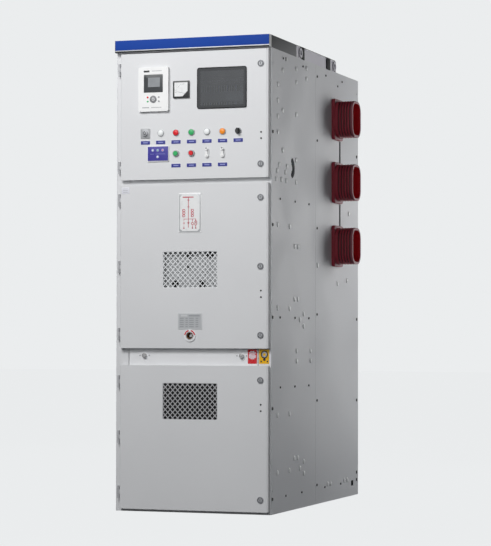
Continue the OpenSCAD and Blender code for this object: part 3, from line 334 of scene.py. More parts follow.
FINISHES = {
    powder_coat: ["front_frame", "lintel", "instrument_door", "breaker_door", "cable_door"],
    sill_coat: ["sill_cover"],
    side_coat: ["left_panels", "right_front_panel", "right_rear_panel", "rear_covers"],
    trough_coat: ["roof_frame"],
    duct_coat: ["relief_duct", "flap_breaker", "flap_busbar", "flap_cable"],
    zinc_sheet: ["floor_frame", "compartment_walls", "partition_wall", "earthing_base", "truck_beam",
                 "upper_shutter", "lower_shutter"],
    expanded_metal: ["cable_mesh"],
    pale_mesh: ["breaker_mesh"],
    truck_coat: ["truck_frame"],
    bright_zinc: ["racking_screw"],
    ground_steel: ["front_wheels", "rear_wheels", "earthing_drive"],
    hinge_steel: ["frame_hinges"],
    satin_chrome: ["instrument_lock_top", "instrument_lock_bottom", "breaker_lock_top",
                   "breaker_lock_middle", "breaker_lock_bottom", "cable_lock_top", "cable_lock_bottom"],
    cast_epoxy: ["contact_boxes", "wall_bushings", "current_transformers", "truck_poles"],
    bar_copper: ["busbars", "cable_bars", "earthing_blades"],
    silver_plate: ["contact_arms"],
    black_abs: ["beam_handle_left", "beam_handle_right", "selector_switch"],
    grey_abs: ["close_button", "open_button"],
    duct_pvc: ["terminal_rails"],
    white_abs: ["relay", "test_link_left", "test_link_right"],
    violet_film: ["panel_meters"],
    window_acrylic: ["window_glass"],
    lens["green"]: ["green_button"],
    lens["red"]: ["red_button"],
}
for material, names in FINISHES.items():
    for name in names:
        slots = nodes[name].data.materials
        slots.clear()
        slots.append(material)


def soften(bm, geom, offset, segments=2, affect="EDGES"):
    """Bevels edges or corners, and keeps the material numbers of the faces beside them."""
    bmesh.ops.bevel(bm, geom=geom, offset=offset, segments=segments, profile=0.5, affect=affect, material=-1)


def turn(bm, verts, degrees, axis):
    """Turns verts about one of the three axes."""
    bmesh.ops.rotate(bm, cent=(0, 0, 0), matrix=Matrix.Rotation(math.radians(degrees), 3, axis), verts=verts)


def move(bm, verts, step):
    """Moves verts by a step."""
    bmesh.ops.translate(bm, vec=step, verts=verts)


def block(bm, low, high, bevel=0.0, tone=0):
    """Box between two corners with bevelled edges; returns its verts, which only a plain box keeps."""
    made = bmesh.ops.create_cube(bm, size=1.0)["verts"]
    low, high = Vector(low), Vector(high)
    bmesh.ops.scale(bm, vec=high - low, verts=made)
    move(bm, made, (low + high) / 2)
    for face in {face for vert in made for face in vert.link_faces}:
        face.material_index = tone
    if bevel:
        edges = list({edge for vert in made for edge in vert.link_edges})
        soften(bm, edges, bevel)
    return made


def tile(bm, centre, size, back, rise, tone=0, bevel=0.0):
    """Box round a place in X and Z, which rises to the front from where its back lies."""
    reach = Vector((size[0] / 2, 0, size[1] / 2))
    middle = Vector((centre[0], back, centre[1]))
    block(bm, middle - reach - Vector((0, rise, 0)), middle + reach, bevel, tone)


def four(centre, dx, dz):
    """Four places round a centre."""
    return [(centre[0] + x, centre[1] + z) for x in (-dx, dx) for z in (-dz, dz)]


def fresh(items, before):
    """Those of a mesh's verts or faces that weren't there before."""
    return [item for item in items if item not in before]


def paint(bm, faces, tone):
    """Turns the normals of faces outward and gives them a material number."""
    bmesh.ops.recalc_face_normals(bm, faces=list(faces))
    for face in faces:
        face.material_index = tone


def turned(bm, profile, centre, axis="Y", steps=32, tone=0):
    """Turns pairs of radius and height about an axis; heights grow towards the front, right or top."""
    before = set(bm.verts)
    verts = [bm.verts.new((radius, 0, height)) for radius, height in profile]
    edges = [bm.edges.new(pair) for pair in zip(verts, verts[1:])]
    bmesh.ops.spin(bm, geom=verts + edges, cent=(0, 0, 0), axis=(0, 0, 1), dvec=(0, 0, 0),
                   angle=math.tau, steps=steps, use_merge=True, use_duplicate=False)
    bmesh.ops.remove_doubles(bm, verts=fresh(bm.verts, before), dist=0.001)
    verts = fresh(bm.verts, before)
    paint(bm, {face for vert in verts for face in vert.link_faces}, tone)
    if axis != "Z":
        turn(bm, verts, 90, "Y" if axis == "X" else "X")
    move(bm, verts, centre)


def disc(radius, height, edge):
    """Disc with a rounded rim, as a profile for turned."""
    return [(0, 0), (radius, 0), (radius, height - edge), (radius - edge * 0.3, height - edge * 0.3),
            (radius - edge, height), (0, height)]


def ring(inner, outer, height, edge):
    """Ring with a rounded outer rim, as a closed profile for turned."""
    return [(inner, 0), (outer, 0), (outer, height - edge), (outer - edge * 0.3, height - edge * 0.3),
            (outer - edge, height), (inner + edge * 0.5, height), (inner, height - edge * 0.5), (inner, 0)]


def band(inner, outer, height):
    """Ring with square edges, as a closed profile for turned."""
    return [(inner, 0), (outer, 0), (outer, height), (inner, height), (inner, 0)]


def dome(radius, skirt, height):
    """Domed cap on a straight skirt, as a profile for turned."""
    arc = [(radius * math.cos(a), skirt + (height - skirt) * math.sin(a))
           for a in (math.radians(15 * k) for k in range(7))]
    arc[-1] = (0, height)
    return [(0, 0), (radius, 0)] + arc


def outward(profile, side):
    """The same profile for the side where heights grow the other way."""
    return [(radius, height * side) for radius, height in profile]


def sheet_shape(bm, size, radius, steps=6):
    """Flat rectangle with round corners in X and Z, as one face that looks to the front."""
    made = bmesh.ops.create_grid(bm, x_segments=1, y_segments=1, size=0.5)["verts"]
    bmesh.ops.scale(bm, vec=(size[0], size[1], 1), verts=made)
    turn(bm, made, 90, "X")
    if radius:
        soften(bm, made, radius, steps, "VERTICES")
    bm.normal_update()


def thicken(bm, faces, step):
    """Gives flat faces a far side a step away, with walls between; returns the far faces."""
    out = bmesh.ops.extrude_face_region(bm, geom=faces, use_keep_orig=True)["geom"]
    move(bm, [item for item in out if isinstance(item, bmesh.types.BMVert)], step)
    return [item for item in out if isinstance(item, bmesh.types.BMFace)]


def plate(bm, centre, size, radius, thickness, depth, edge=0.5, tone=0):
    """Front plate with round corners; depth is where its back lies, and thickness goes to the front."""
    before = set(bm.faces)
    sheet_shape(bm, size, radius)
    face = fresh(bm.faces, before)[0]
    if face.normal.y > 0:
        face.normal_flip()
    move(bm, face.verts[:], (centre[0], depth, centre[1]))
    rim = thicken(bm, [face], (0, -thickness, 0))[0].edges[:]
    paint(bm, fresh(bm.faces, before), tone)
    if edge:
        soften(bm, rim, edge)


def arc_strip(bm, ends, axis, start, sweep, steps, place):
    """Flat strip that an edge sweeps round the X or Y axis, moved to its place; returns its faces."""
    before = set(bm.faces)
    verts = [bm.verts.new(end) for end in ends]
    edge = bm.edges.new(verts)
    turn(bm, verts, start, axis)
    about = (-1, 0, 0) if axis == "X" else (0, -1, 0)
    bmesh.ops.spin(bm, geom=verts + [edge], cent=(0, 0, 0), axis=about, dvec=(0, 0, 0),
                   angle=math.radians(sweep), steps=steps, use_merge=False, use_duplicate=False)
    strip = fresh(bm.faces, before)
    move(bm, list({vert for face in strip for vert in face.verts}), place)
    return strip


def border(left, right, bottom, top, width, near, far, bevel=0.0):
    """Four boxes that lie round the inside of a rectangle, between two depths."""
    sides = [((x, near, bottom), (x + width, far, top), bevel) for x in (left, right - width)]
    ends = [((left + width, near, z), (right - width, far, z + width), bevel) for z in (bottom, top - width)]
    return sides + ends


def piece(name, bm, finishes, body, crease=38):
    """Turns a bmesh in millimetres into a finished piece that rides on a body."""
    bmesh.ops.scale(bm, vec=(MM, MM, MM), verts=bm.verts[:])
    mesh = bpy.data.meshes.new(name)
    bm.to_mesh(mesh)
    bm.free()
    for finish in finishes if isinstance(finishes, (list, tuple)) else [finishes]:
        mesh.materials.append(finish)
    mesh.shade_smooth()
    mesh.set_sharp_from_angle(angle=math.radians(crease))
    made = bpy.data.objects.new(name, mesh)
    bpy.context.scene.collection.objects.link(made)
    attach(made, body)
    return made


def boxes(name, shapes, finishes, body):
    """A piece made of boxes; each gives two corners and, where it has them, its bevel and tone."""
    bm = bmesh.new()
    for shape in shapes:
        block(bm, *shape)
    return piece(name, bm, finishes, body)


# Lintel: blue face with a bright lip below it
def lintel_face():
    """Blue band between two dark end strips, a bright lip below it and a dark rubber strip under the lip; the
    end strips and the strip under the lip are painted shade.
    """
    front, high = LINTEL_LOW.y, LINTEL_HIGH.z
    lip_low, lip_high = LINTEL_LOW.z + 6, LINTEL_LOW.z + 11
    half = HALF_WIDTH - 2
    boxes("lintel_blue_band", [((-half, front - 1, lip_high), (half, front, high - 0.5), 0.4)],
          blue_coat, "cabinet")
    boxes("lintel_lip", [((-HALF_WIDTH, front - 1.5, lip_low), (HALF_WIDTH, front, lip_high), 0.4)],
          trim_aluminium, "cabinet")
    # Dark rubber strip in the gap under the lip: painted shade
    boxes("lintel_shade_strip", [((-half - 1, front - 0.8, LINTEL_LOW.z), (half + 1, front, lip_low), 0.2)],
          rubber, "cabinet")
    # Dark end strips at the band's corners: painted shade
    boxes("lintel_end_strips", [((low, front - 1.5, lip_high), (low + 2, front, high), 0.3)
                                for low in (-HALF_WIDTH, half)], dark_coat, "cabinet")


lintel_face()

# Instrument door: colours of the lamps by column, size of a tag, half the span of a link, and places
LAMPS = {-2: "white", -1: "red", 0: "green", 1: "white", 2: "orange"}
TAG = (48, 18)
LINK_HALF = 15
AMMETER_AT = (-52, 2049)
DISPLAY_X = -172


def device_tags():
    """Blue tag with a pale rim under each device, and a plain bar where its words would be."""
    bm = bmesh.new()
    for row, columns, drop in ((ROW_1, range(-3, 4), 45), (ROW_2, range(-1, 3), 59)):
        for i in columns:
            centre = (i * DEVICE_PITCH, row - drop)
            plate(bm, centre, (TAG[0] + 3, TAG[1] + 3), 2, 0.7, FACE, 0.2, tone=2)
            plate(bm, centre, TAG, 1.5, 1.2, FACE, 0.3)
            tile(bm, centre, (26, 4.4), FACE - 1.1, 0.4, 1)
    piece("device_tags", bm, [blue_laminate, engraved_laminate, white_laminate], "instrument_door")


def lamps():
    """Lamps and the housings of switches and buttons, from bezel to the tube behind the door."""
    bezels, tubes = bmesh.new(), bmesh.new()
    for i, colour in LAMPS.items():
        centre = (i * DEVICE_PITCH, FACE, ROW_1)
        turned(bezels, ring(13.4, 17, 4.6, 1.4), centre)
        turned(tubes, disc(11, 34, 1), (centre[0], FACE + 34, ROW_1))
        cap = bmesh.new()
        turned(cap, dome(14.4, 5, 10), centre)
        piece(f"lamp_lens_{i + 3}", cap, lens[colour], "instrument_door", crease=60)
    for i in (-1, 0):
        place = (i * DEVICE_PITCH, FACE, ROW_2)
        turned(bezels, ring(11.4, 16.8, 7.5, 2), place)
        turned(tubes, ring(9.3, 11, 30, 1), (place[0], FACE + 30, ROW_2))
    turned(bezels, ring(13.3, 16.5, 5.5, 2), (3 * DEVICE_PITCH, FACE, ROW_1))
    for i, row in ((3, ROW_1), (-3, ROW_1)):
        turned(tubes, ring(8.05, 11, 30, 1), (i * DEVICE_PITCH, FACE + 30, row))
    piece("device_bezels", bezels, satin_chrome, "instrument_door")
    made = piece("device_tubes", tubes, black_abs, "instrument_door")
    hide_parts("pilot_devices")


def changeover_plate():
    """Square plate of the change-over switch with four screws, and its turning knob with a pointer."""
    x, z = -3 * DEVICE_PITCH, ROW_1
    bm = bmesh.new()
    plate(bm, (x, z), (49, 49), 4, 4.2, FACE, 1)
    turned(bm, ring(13.3, 20, 5.6, 1), (x, FACE, z), tone=1)
    for x1, z1 in four((x, z), 19, 19):
        turned(bm, disc(2, 5, 0.6), (x1, FACE, z1), steps=12, tone=1)
    piece("changeover_plate", bm, [grey_abs, satin_chrome], "instrument_door")
    knob = bmesh.new()
    turned(knob, disc(8, 34, 0.5), (x, FACE + 28, z))
    turned(knob, ring(7.6, 13, 9, 1.5), (x, FACE - 6, z))
    turned(knob, disc(7.6, 6.8, 0.4), (x, FACE - 6, z), tone=1)
    turned(knob, dome(5.4, 7.4, 10), (x, FACE - 6, z), steps=20)
    tile(knob, (x, z + 10.1), (2.4, 4.6), FACE - 14, 1.6, 1, 0.3)
    made = piece("changeover_knob", knob, [satin_chrome, black_abs], "changeover_switch")
    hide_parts("changeover_switch")


def test_link_bases():
    """Moulded bases of the two test links, each with its studs and a grey top screw."""
    bm = bmesh.new()
    for i in (1, 2):
        x = i * DEVICE_PITCH
        plate(bm, (x, ROW_2), (24, 50), 11.5, 3, FACE, 0.6)
        turned(bm, disc(3, 13, 0.6), (x, FACE, ROW_2 - LINK_HALF), steps=20, tone=1)
        turned(bm, disc(6, 5, 0.6), (x, FACE, ROW_2 + LINK_HALF), steps=20, tone=1)
        turned(bm, disc(3.4, 16, 0.8), (x, FACE, ROW_2 + 20), steps=16, tone=2)
    piece("test_link_bases", bm, [powder_coat, white_abs, dull_zinc], "instrument_door")


def relay_front():
    """Dark screen and keys of the protection relay, with plain bars where its words would be."""
    low, high = corners("relay")
    front = low.y + 2
    middle = (low + high) / 2
    screen = bmesh.new()
    plate(screen, (middle.x, middle.z + 28), (99, 87), 3.5, 1.4, front + 1.9, 0.4)
    plate(screen, (middle.x + 3, middle.z + 34), (62, 46), 1.5, 0.4, front + 0.6, 0, tone=1)
    piece("relay_screen", screen, [dark_acrylic, crystal_cell], "instrument_door")
    keys = bmesh.new()
    pad = Vector((middle.x, front, middle.z - 49))
    turned(keys, ring(8, 17.5, 2.4, 0.6), pad, tone=3)
    turned(keys, disc(6.5, 2.8, 0.8), pad)
    for x, z, tone in ((-29, 10, 1), (-29, -10, 2), (29, 10, 0), (29, -10, 0)):
        turned(keys, disc(4.6, 2.4, 0.8), pad + Vector((x, 0, z)), steps=20, tone=tone)
    piece("relay_keys", keys, [grey_abs, lens["red"], lens["green"], dull_zinc], "instrument_door")
    plates = bmesh.new()
    plate(plates, (middle.x - 35, middle.z + 88), (30, 9), 1, 0.5, front, 0.1)
    for x, z, size in ((18, 89, (52, 3)), (-40, -89, (36, 5)), (16, -89, (54, 3))):
        plate(plates, (middle.x + x, middle.z + z), size, 0.5, 0.3, front, 0, tone=1)
    piece("relay_plain_marks", plates, [black_abs, grey_abs], "instrument_door")


def ammeter():
    """Square ammeter: black case, white dial with its lower right corner cut, scale ticks and a needle."""
    x, z = AMMETER_AT
    side = 84
    bm = bmesh.new()
    plate(bm, (x, z), (side, side), 4, 9, FACE, 1.5)
    turned(bm, disc(side / 2 - 5, 55, 1), (x, FACE + 56, z))
    half, cut = side / 2 - 8, 26
    outline = [(-half, -half), (half - cut, -half), (half, -half + cut), (half, half), (-half, half)]
    before = set(bm.faces)
    dial = bm.faces.new([bm.verts.new((x + px, FACE - 9.2, z + pz)) for px, pz in outline])
    thicken(bm, [dial], (0, 0.4, 0))
    paint(bm, fresh(bm.faces, before), 1)
    pivot = (x + half - 14, FACE - 9.4, z - half + 14)

    def bar(length, thickness, reach, degrees):
        """Thin bar at a reach from the needle's pivot, turned about it."""
        half, middle = Vector((length, thickness, 1)) / 2, Vector((reach, 0, 0))
        made = block(bm, middle - half, middle + half)
        turn(bm, made, -degrees, "Y")
        move(bm, made, pivot)

    for k in range(9):
        bar(7 if k % 4 == 0 else 4, 0.3, 47, 96 + k * 9.5)
    bar(44, 0.4, 22, 168)
    made = piece("ammeter", bm, [black_abs, white_enamel], "instrument_door")
    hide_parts("panel_meters")


def position_display():
    """Switch position display: violet face in a pale frame with three lamps and a key."""
    x, z = DISPLAY_X, ROW_2
    bm = bmesh.new()
    plate(bm, (x, z), (111, 76), 3, 6, FACE, 1)
    tile(bm, (x, z), (100, 66), FACE + 70, 70, 0, 1)
    plate(bm, (x, z + 1), (106, 70), 2, 1.2, FACE - 5.9, 0.3, tone=1)
    for dx, tone in ((-27, 2), (-1, 3), (25, 5)):
        turned(bm, ring(4.4, 7.2, 2.4, 0.8), (x + dx, FACE - 7, z + 17), steps=20, tone=4)
        turned(bm, dome(4.8, 1, 3.6), (x + dx, FACE - 7, z + 17), steps=20, tone=tone)
    turned(bm, ring(5, 7.6, 2.6, 0.8), (x - 1, FACE - 7, z - 15), steps=24, tone=4)
    turned(bm, dome(5.4, 1, 3.6), (x - 1, FACE - 7, z - 15), steps=24, tone=2)
    tile(bm, (x - 30, z - 0.75), (20, 1.5), FACE - 7, 0.3, 4)
    tile(bm, (x + 13, z - 0.75), (50, 1.5), FACE - 7, 0.3, 4)
    made = piece("position_display", bm, [white_abs, violet_film, white_laminate, lens["pale_green"],
                                          engraved_laminate, lens["pink"]], "instrument_door")
    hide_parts("panel_meters")


def window_trim():
    """Rubber profile round the smoked window, and the dark tape behind its edge."""
    low, high = corners("window_glass")
    middle = (low + high) / 2
    width, height = high.x - low.x + 3, high.z - low.z + 3
    lip, rise, corner = 4, 0.8, 11
    bm = bmesh.new()
    sheet_shape(bm, (width, height), corner)
    sheet_shape(bm, (width - 2 * lip, height - 2 * lip), corner - lip)
    bmesh.ops.delete(bm, geom=bm.faces[:], context="FACES_ONLY")
    bmesh.ops.bridge_loops(bm, edges=bm.edges[:])
    move(bm, bm.verts[:], (middle.x, low.y - rise, middle.z))
    bmesh.ops.recalc_face_normals(bm, faces=bm.faces[:])
    bmesh.ops.solidify(bm, geom=bm.faces[:], thickness=rise + 3)
    piece("window_trim", bm, rubber, "instrument_door")
    boxes("window_tape", border(low.x + 1, high.x - 1, low.z + 1, high.z - 1, 14, high.y - 0.6, high.y - 0.2),
          rubber, "instrument_door")


device_tags()
lamps()
changeover_plate()
test_link_bases()
relay_front()
ammeter()
position_display()
window_trim()


# Doors: heights of their locks, of the plugs in spare holes and of the hinges
LOCKS = {"instrument_door": (1679, 2161), "breaker_door": (858, 1188, 1518), "cable_door": (72, 643)}
PLUGS = {"instrument_door": (1801, 1831), "breaker_door": (1040, 1071), "cable_door": (496, 526)}
LOCK_X = 354
HINGES = {"instrument_door": (1676, 2157), "breaker_door": (862, 1190, 1517), "cable_door": (93, 362, 631)}
HINGE_AXIS = (-381, -740)


def lock_rings():
    """Barrel of each lock with a dark throat that is painted shade, and the plugs of the spare holes."""
    for door, heights in LOCKS.items():
        bm = bmesh.new()
        for z in heights:
            turned(bm, ring(12.6, 16, 4.4, 1.6), (LOCK_X, FACE, z))
            # The dark inner ring is painted shade in the lock's throat
            turned(bm, ring(9.6, 12.8, 3.6, 0.3), (LOCK_X, FACE, z), tone=1)
        piece(f"{door}_lock_rings", bm, [lock_zinc, dark_coat], door)
        plugs = bmesh.new()
        for z in PLUGS[door]:
            turned(plugs, disc(4.4, 1.4, 0.5), (LOCK_X + 2, FACE, z), steps=16)
        piece(f"{door}_hole_plugs", plugs, black_oxide, door)


def door_gaskets():
    """Foam rubber strip round the inside of each door."""
    for door in LOCKS:
        low, high = corners(door)
        boxes(f"{door}_gasket", border(-360, high.x - 12, low.z + 12, high.z - 12, 8, high.y - 0.6,
                                       high.y + 0.7, 0.3), rubber, door)


def door_edges():
    """Rolled edge down the closing side of each door, in the door's own coat."""
    for door in LOCKS:
        low, high = corners(door)
        bm = bmesh.new()
        block(bm, (high.x - 1, FACE, low.z + 1), (high.x + 8.5, FACE + 20, high.z - 1))
        corner = [edge for edge in bm.edges
                  if all(vert.co.x > high.x + 8 and vert.co.y < FACE + 1 for vert in edge.verts)]
        soften(bm, corner, 8, 6)
        piece(f"{door}_rolled_edge", bm, powder_coat, door, crease=30)


def hinge_sleeves():
    """Plated sleeve over the middle knuckle of each hinge, which turns with its door."""
    for door, heights in HINGES.items():
        bm = bmesh.new()
        for z in heights:
            turned(bm, ring(6.05, 6.7, 18.6, 0.3), (*HINGE_AXIS, z - 9.3), axis="Z", steps=24)
        piece(f"{door}_hinge_sleeves", bm, hinge_steel, door)


def grille_pad():
    """Black foam pad held behind the lower grille by two strips, as painted shade for the dark inside of the
    cable compartment.
    """
    low, high = corners("cable_mesh")
    bottom, top = low.z + 1, high.z - 1
    pad = [((low.x + 1, high.y + 3, bottom), (high.x - 1, high.y + 9, top), 1, 0)]
    strips = [((x, high.y + 0.3, bottom), (x + 8, high.y + 2.9, top), 0.3, 1)
              for x in (low.x + 1, high.x - 9)]
    boxes("grille_shade_pad", pad + strips, [shade_foam, duct_pvc], "cable_door")


lock_rings()
door_gaskets()
door_edges()
hinge_sleeves()
grille_pad()


# Breaker door: places in X and Z of its plates and its tag
MIMIC_AT = (-7, 1449)
RATING_AT = (-5.5, 925)
TAG_AT = (-344, 1563.5)
# Strokes of the diagram: two ends and a width
STROKES = ((-34, 76, 17, 76, 5), (-7, 74, -7, 66, 2.8), (-7, 58, -7, 34, 2.8), (-7, 26, -7, -70, 2.8),
           (-37, 18, -37, -20, 1.8), (7, 18, 7, -20, 1.8), (-30, -30, 31, -30, 2.2),
           (-30, -32, -30, -42, 1.8), (-30, -62, -30, -74, 1.8), (14, -32, 14, -42, 2.8),
           (14, -62, 14, -74, 2.8), (31, -32, 31, -42, 2.8), (31, -62, 31, -74, 2.8),
           (-12, -46, -2, -46, 2.8), (-10, -51, -4, -51, 2.8))
# Its circles: a centre, a radius and half the line's width
LOOPS = ((-7, 62, 3, 1.4), (-7, 30, 3, 1.4), (-30, 12, 5.5, 1.4), (-30, -1, 5.5, 1.4),
         (-30, -14, 5.5, 1.4), (14, 12, 5.5, 1.4), (14, -1, 5.5, 1.4), (14, -14, 5.5, 1.4),
         (-30, -50, 4, 1), (14, -52, 5.5, 1.4), (31, -44, 5.5, 1.4), (31, -54, 5.5, 1.4),
         (-30, -74, 2, 1.4), (14, -74, 2, 1.4), (31, -74, 2, 1.4))


def mimic_plate():
    """Single-line diagram of the cabinet in plain red strokes on a white plate in a silver frame."""
    x0, z0 = MIMIC_AT
    bm = bmesh.new()
    plate(bm, (x0, z0), (119, 194), 12, 1.2, FACE, tone=1)
    plate(bm, (x0, z0), (111, 186), 10, 2, FACE - 1, 0.6)
    before = set(bm.verts)
    plate(bm, (x0, z0), (101, 176), 0, 0.5, FACE - 2.9, 0, tone=1)
    sharp = [edge for edge in bm.edges if not before.intersection(edge.verts)
             and abs(edge.verts[0].co.y - edge.verts[1].co.y) > 0.3]
    soften(bm, sharp, 11, 1)
    for x, z in four((x0, z0), 55, 92):
        turned(bm, disc(4, 3, 1), (x, FACE, z), steps=16, tone=1)
    ink = FACE - 3.4
    for x1, z1, x2, z2, width in STROKES:
        tile(bm, (x0 + (x1 + x2) / 2, z0 + (z1 + z2) / 2), (abs(x2 - x1) + width, abs(z2 - z1) + width),
             ink, 0.3, 2)
    for x, z, radius, half in LOOPS:
        turned(bm, band(radius - half, radius + half, 0.3), (x0 + x, ink, z0 + z), steps=20, tone=2)
    piece("mimic_plate", bm, [trim_aluminium, white_enamel, red_ink], "breaker_door")


def rating_plate():
    """Etched plate with ruled fields and nothing written in them."""
    x0, z0 = RATING_AT
    bm = bmesh.new()
    plate(bm, (x0, z0), (125, 81), 3, 1.2, FACE, 0.4)
    plate(bm, (x0, z0), (113, 69), 1, 0.3, FACE - 1.1, 0, tone=1)
    plate(bm, (x0 - 30, z0 + 27), (34, 9), 1, 0.3, FACE - 1.3, 0)
    for z in range(z0 + 14, z0 - 27, -10):
        for x, width in ((-42, 20), (-17, 12), (8, 24), (36, 14)):
            tile(bm, (x0 + x, z), (width, 4.8), FACE - 1.3, 0.4, 2)
    tile(bm, (x0 + 22, z0 + 26.5), (56, 7), FACE - 1.3, 0.4, 2)
    for x, z in four((x0, z0), 58, 36):
        turned(bm, disc(2, 2.2, 0.7), (x, FACE, z), steps=12)
    piece("rating_plate", bm, [etched_aluminium, etched_field, etched_line], "breaker_door")


def racking_port_ring():
    """Enamelled ring round the port with two red arcs, a bronze bush and the screw's bright square."""
    centre = (DOOR_MIDDLE, FACE - 3, PORT_Z)
    bm = bmesh.new()
    turned(bm, ring(20.3, 29.5, 1.0, 0.3), centre)
    turned(bm, ring(16.8, 20.2, 2.5, 0.8), centre, tone=1)
    for profile in (ring(13.2, 16.8, 2, 0.6), band(13.2, 16.8, -12)):
        turned(bm, profile, (DOOR_MIDDLE, FACE + 1, PORT_Z), tone=2)
    piece("racking_port_ring", bm, [white_enamel, trim_aluminium, bronze], "breaker_door")
    arcs = bmesh.new()
    for start in (8, 102):
        arc_strip(arcs, ((22, 0, 0), (28, 0, 0)), "Y", -start, 70, 14, (DOOR_MIDDLE, FACE - 4.3, PORT_Z))
    bmesh.ops.recalc_face_normals(arcs, faces=arcs.faces[:])
    bmesh.ops.solidify(arcs, geom=arcs.faces[:], thickness=0.3)
    piece("racking_port_arcs", arcs, red_enamel, "breaker_door")
    end, half = corners("racking_screw")[0].y + 1, 5.8
    boxes("racking_screw_square", [((DOOR_MIDDLE - half, FACE + 10, PORT_Z - half),
                                    (DOOR_MIDDLE + half, end, PORT_Z + half), 1)],
          bright_zinc, "racking_screw")


def door_tag():
    """Small white tag with three plain bars."""
    bm = bmesh.new()
    plate(bm, TAG_AT, (40, 31), 2, 0.8, FACE, 0.3)
    for drop in (-8.5, -0.5, 7.5):
        tile(bm, (TAG_AT[0] - 1, TAG_AT[1] - drop), (26, 2), FACE - 0.7, 0.4, 1)
    piece("door_tag", bm, [white_laminate, grey_abs], "breaker_door")


mimic_plate()
rating_plate()
racking_port_ring()
door_tag()


# Sill: places in X and Z of the right knob, the two plates and the earthing port
KNOB = (251, 759)
RED_AT = (305, 755.5)
YELLOW_AT = (364.5, 755.5)
EARTH_PORT = (366, 765)
PORT_FEET = (350, 381)
# Widths of the plain bars on the red plate, from the lowest up
BAR_WIDTHS = (20, 34, 36, 36, 30, 36, 22)


def sill_details():
    """Knob caps and screws, a red plate with plain bars, and the yellow plate with the earthing port."""
    screws, caps = bmesh.new(), bmesh.new()
    for x in (-KNOB[0], KNOB[0]):
        turned(caps, ring(10.1, 10.9, 10.4, 0.3), (x, STRIP - 2, KNOB[1]))
        turned(caps, disc(10.8, 0.6, 0.2), (x, STRIP - 12.1, KNOB[1]))
        turned(caps, dome(4, 0.4, 1.2), (x, STRIP - 12.6, KNOB[1]), steps=20, tone=1)
        for dx in (-24, 24):
            turned(screws, disc(3.8, 1.6, 0.6), (x + dx, STRIP, KNOB[1]), steps=16)
    piece("sill_screws", screws, hinge_steel, "cabinet")
    piece("sill_knob_caps", caps, [nickel, satin_chrome], "cabinet")
    red = bmesh.new()
    plate(red, RED_AT, (46, 69), 1.5, 1.2, STRIP, 0.3)
    for k, width in enumerate(BAR_WIDTHS):
        tile(red, (RED_AT[0], RED_AT[1] - 10.6 + 5.6 * k), (width, 3.8), STRIP - 1.1, 0.5, 1)
    piece("sill_red_plate", red, [red_enamel, white_laminate], "cabinet")
    yellow = bmesh.new()
    plate(yellow, YELLOW_AT, (50, 69), 1.5, 1.2, STRIP, 0)
    piece("sill_yellow_plate", yellow, yellow_enamel, "cabinet")
    port = bmesh.new()
    x, z = EARTH_PORT
    turned(port, ring(13.5, 18, 2.6, 1), (x, STRIP - 1, z))
    turned(port, ring(7, 13.4, 1.6, 0.6), (x, STRIP - 1, z), tone=1)
    turned(port, disc(6.2, 1.4, 0.4), (x, STRIP - 1, z - 24), steps=20)
    tile(port, (x, z - 18), (7, 6), STRIP - 1, 1.4, 0, 0.5)
    for foot in PORT_FEET:
        tile(port, (foot, z - 33), (6, 8), STRIP - 1.1, 0.5)
    piece("earthing_port_escutcheon", port, [black_abs, nickel], "cabinet")


sill_details()

# Side sheets: heights of bolts, rivets and roof screws by their Y place, and Y places of screw rows by height
BOLT_COLUMNS = {-706: (74, 507, 944, 1388, 1835), 5: (97, 527, 965, 1405, 1853, 2181),
                720: (81, 121, 509, 945, 1825)}
SCREW_ROWS = {1519: (-593, -359, -133), 944: (-593, -359, -133), 606: (-589, -359, -133),
              77: (-500, -246, 141, 424)}
# Heights of screws and rivets, lower on the left side
HEAD_HEIGHT = {1: (3.6, 5.0), -1: (2.4, 2.9)}
RIVET_COLUMNS = {-630: (196, 473, 989, 1391, 1841, 1917, 1994, 2072), -557: (1758, 1952, 2148),
                 -444: (197, 473, 989, 1391), -343: (1615, 1725, 1952, 2113, 2180), -177: (2147, 2200),
                 -366: (252, 1036, 1297), -311: (252, 1036, 1297), -331: (731, 780), -105: (731, 780),
                 -219: (904, 965), -278: (935,), -213: (169, 228), -277: (198,), -500: (1613,), -576: (1613,),
                 -655: (1613,), -640: (1653,), -514: (1653,), -610: (1683,), -487: (1683,),
                 192: (90,), 243: (90,), 490: (90,), 544: (90,), 15: (1215,), 365: (1130,), 536: (1149,),
                 572: (1508,)}
ROOF_SCREWS = {-549: (2207,), -233: (2205,), 155: (2203,), 366: (2170,), 446: (2202,)}
# Lowest and highest Z of the two rear covers
REAR_COVERS = ((12, 1165), (1171, 2236))
# Rubber edge, a dark strip that is painted shade on the plate's front edge, and plate beside the notch: two Y
# places, two heights, rise above the sheet and material number
NOTCH_PLATES = ((-512, -503, 2198, 2218, 0.8, 1), (-504, -481, 2199, 2217, 2.8, 0))


def side_fixings():
    """Screws and rivets of both side sheets, and the small plate beside the notch at the top."""
    spots = [(y, z, 6.4 if y == 5 else 8) for y, heights in BOLT_COLUMNS.items() for z in heights]
    spots += [(y, z, 5.4) for y, heights in ROOF_SCREWS.items() for z in heights]
    spots += [(y, z, 5.4) for z, row in SCREW_ROWS.items() for y in row]
    crowns = [(y, z) for y, heights in RIVET_COLUMNS.items() for z in heights]
    for side, name in ((1, "right"), (-1, "left")):
        sheet = side * HALF_WIDTH
        head, crown = HEAD_HEIGHT[side]
        heads, rivets = bmesh.new(), bmesh.new()
        for y, z, radius in spots:
            turned(heads, outward(disc(radius, head, 0.8), side), (sheet, y, z), axis="X", steps=12)
        for y, z in crowns:
            turned(rivets, outward(dome(13.5, 0.2, crown), side), (sheet, y, z), axis="X", steps=18)
        piece(f"side_screws_{name}", heads, black_oxide, "cabinet")
        piece(f"side_rivets_{name}", rivets, rivet_coat, "cabinet", crease=60)
        notch = []
        for y0, y1, z0, z1, rise, tone in NOTCH_PLATES:
            low, high = sorted((sheet, sheet + side * rise))
            notch.append(((low, y0, z0), (high, y1, z1), 0.3, tone))
        boxes(f"side_notch_plate_{name}", notch, [powder_coat, rubber], "cabinet")


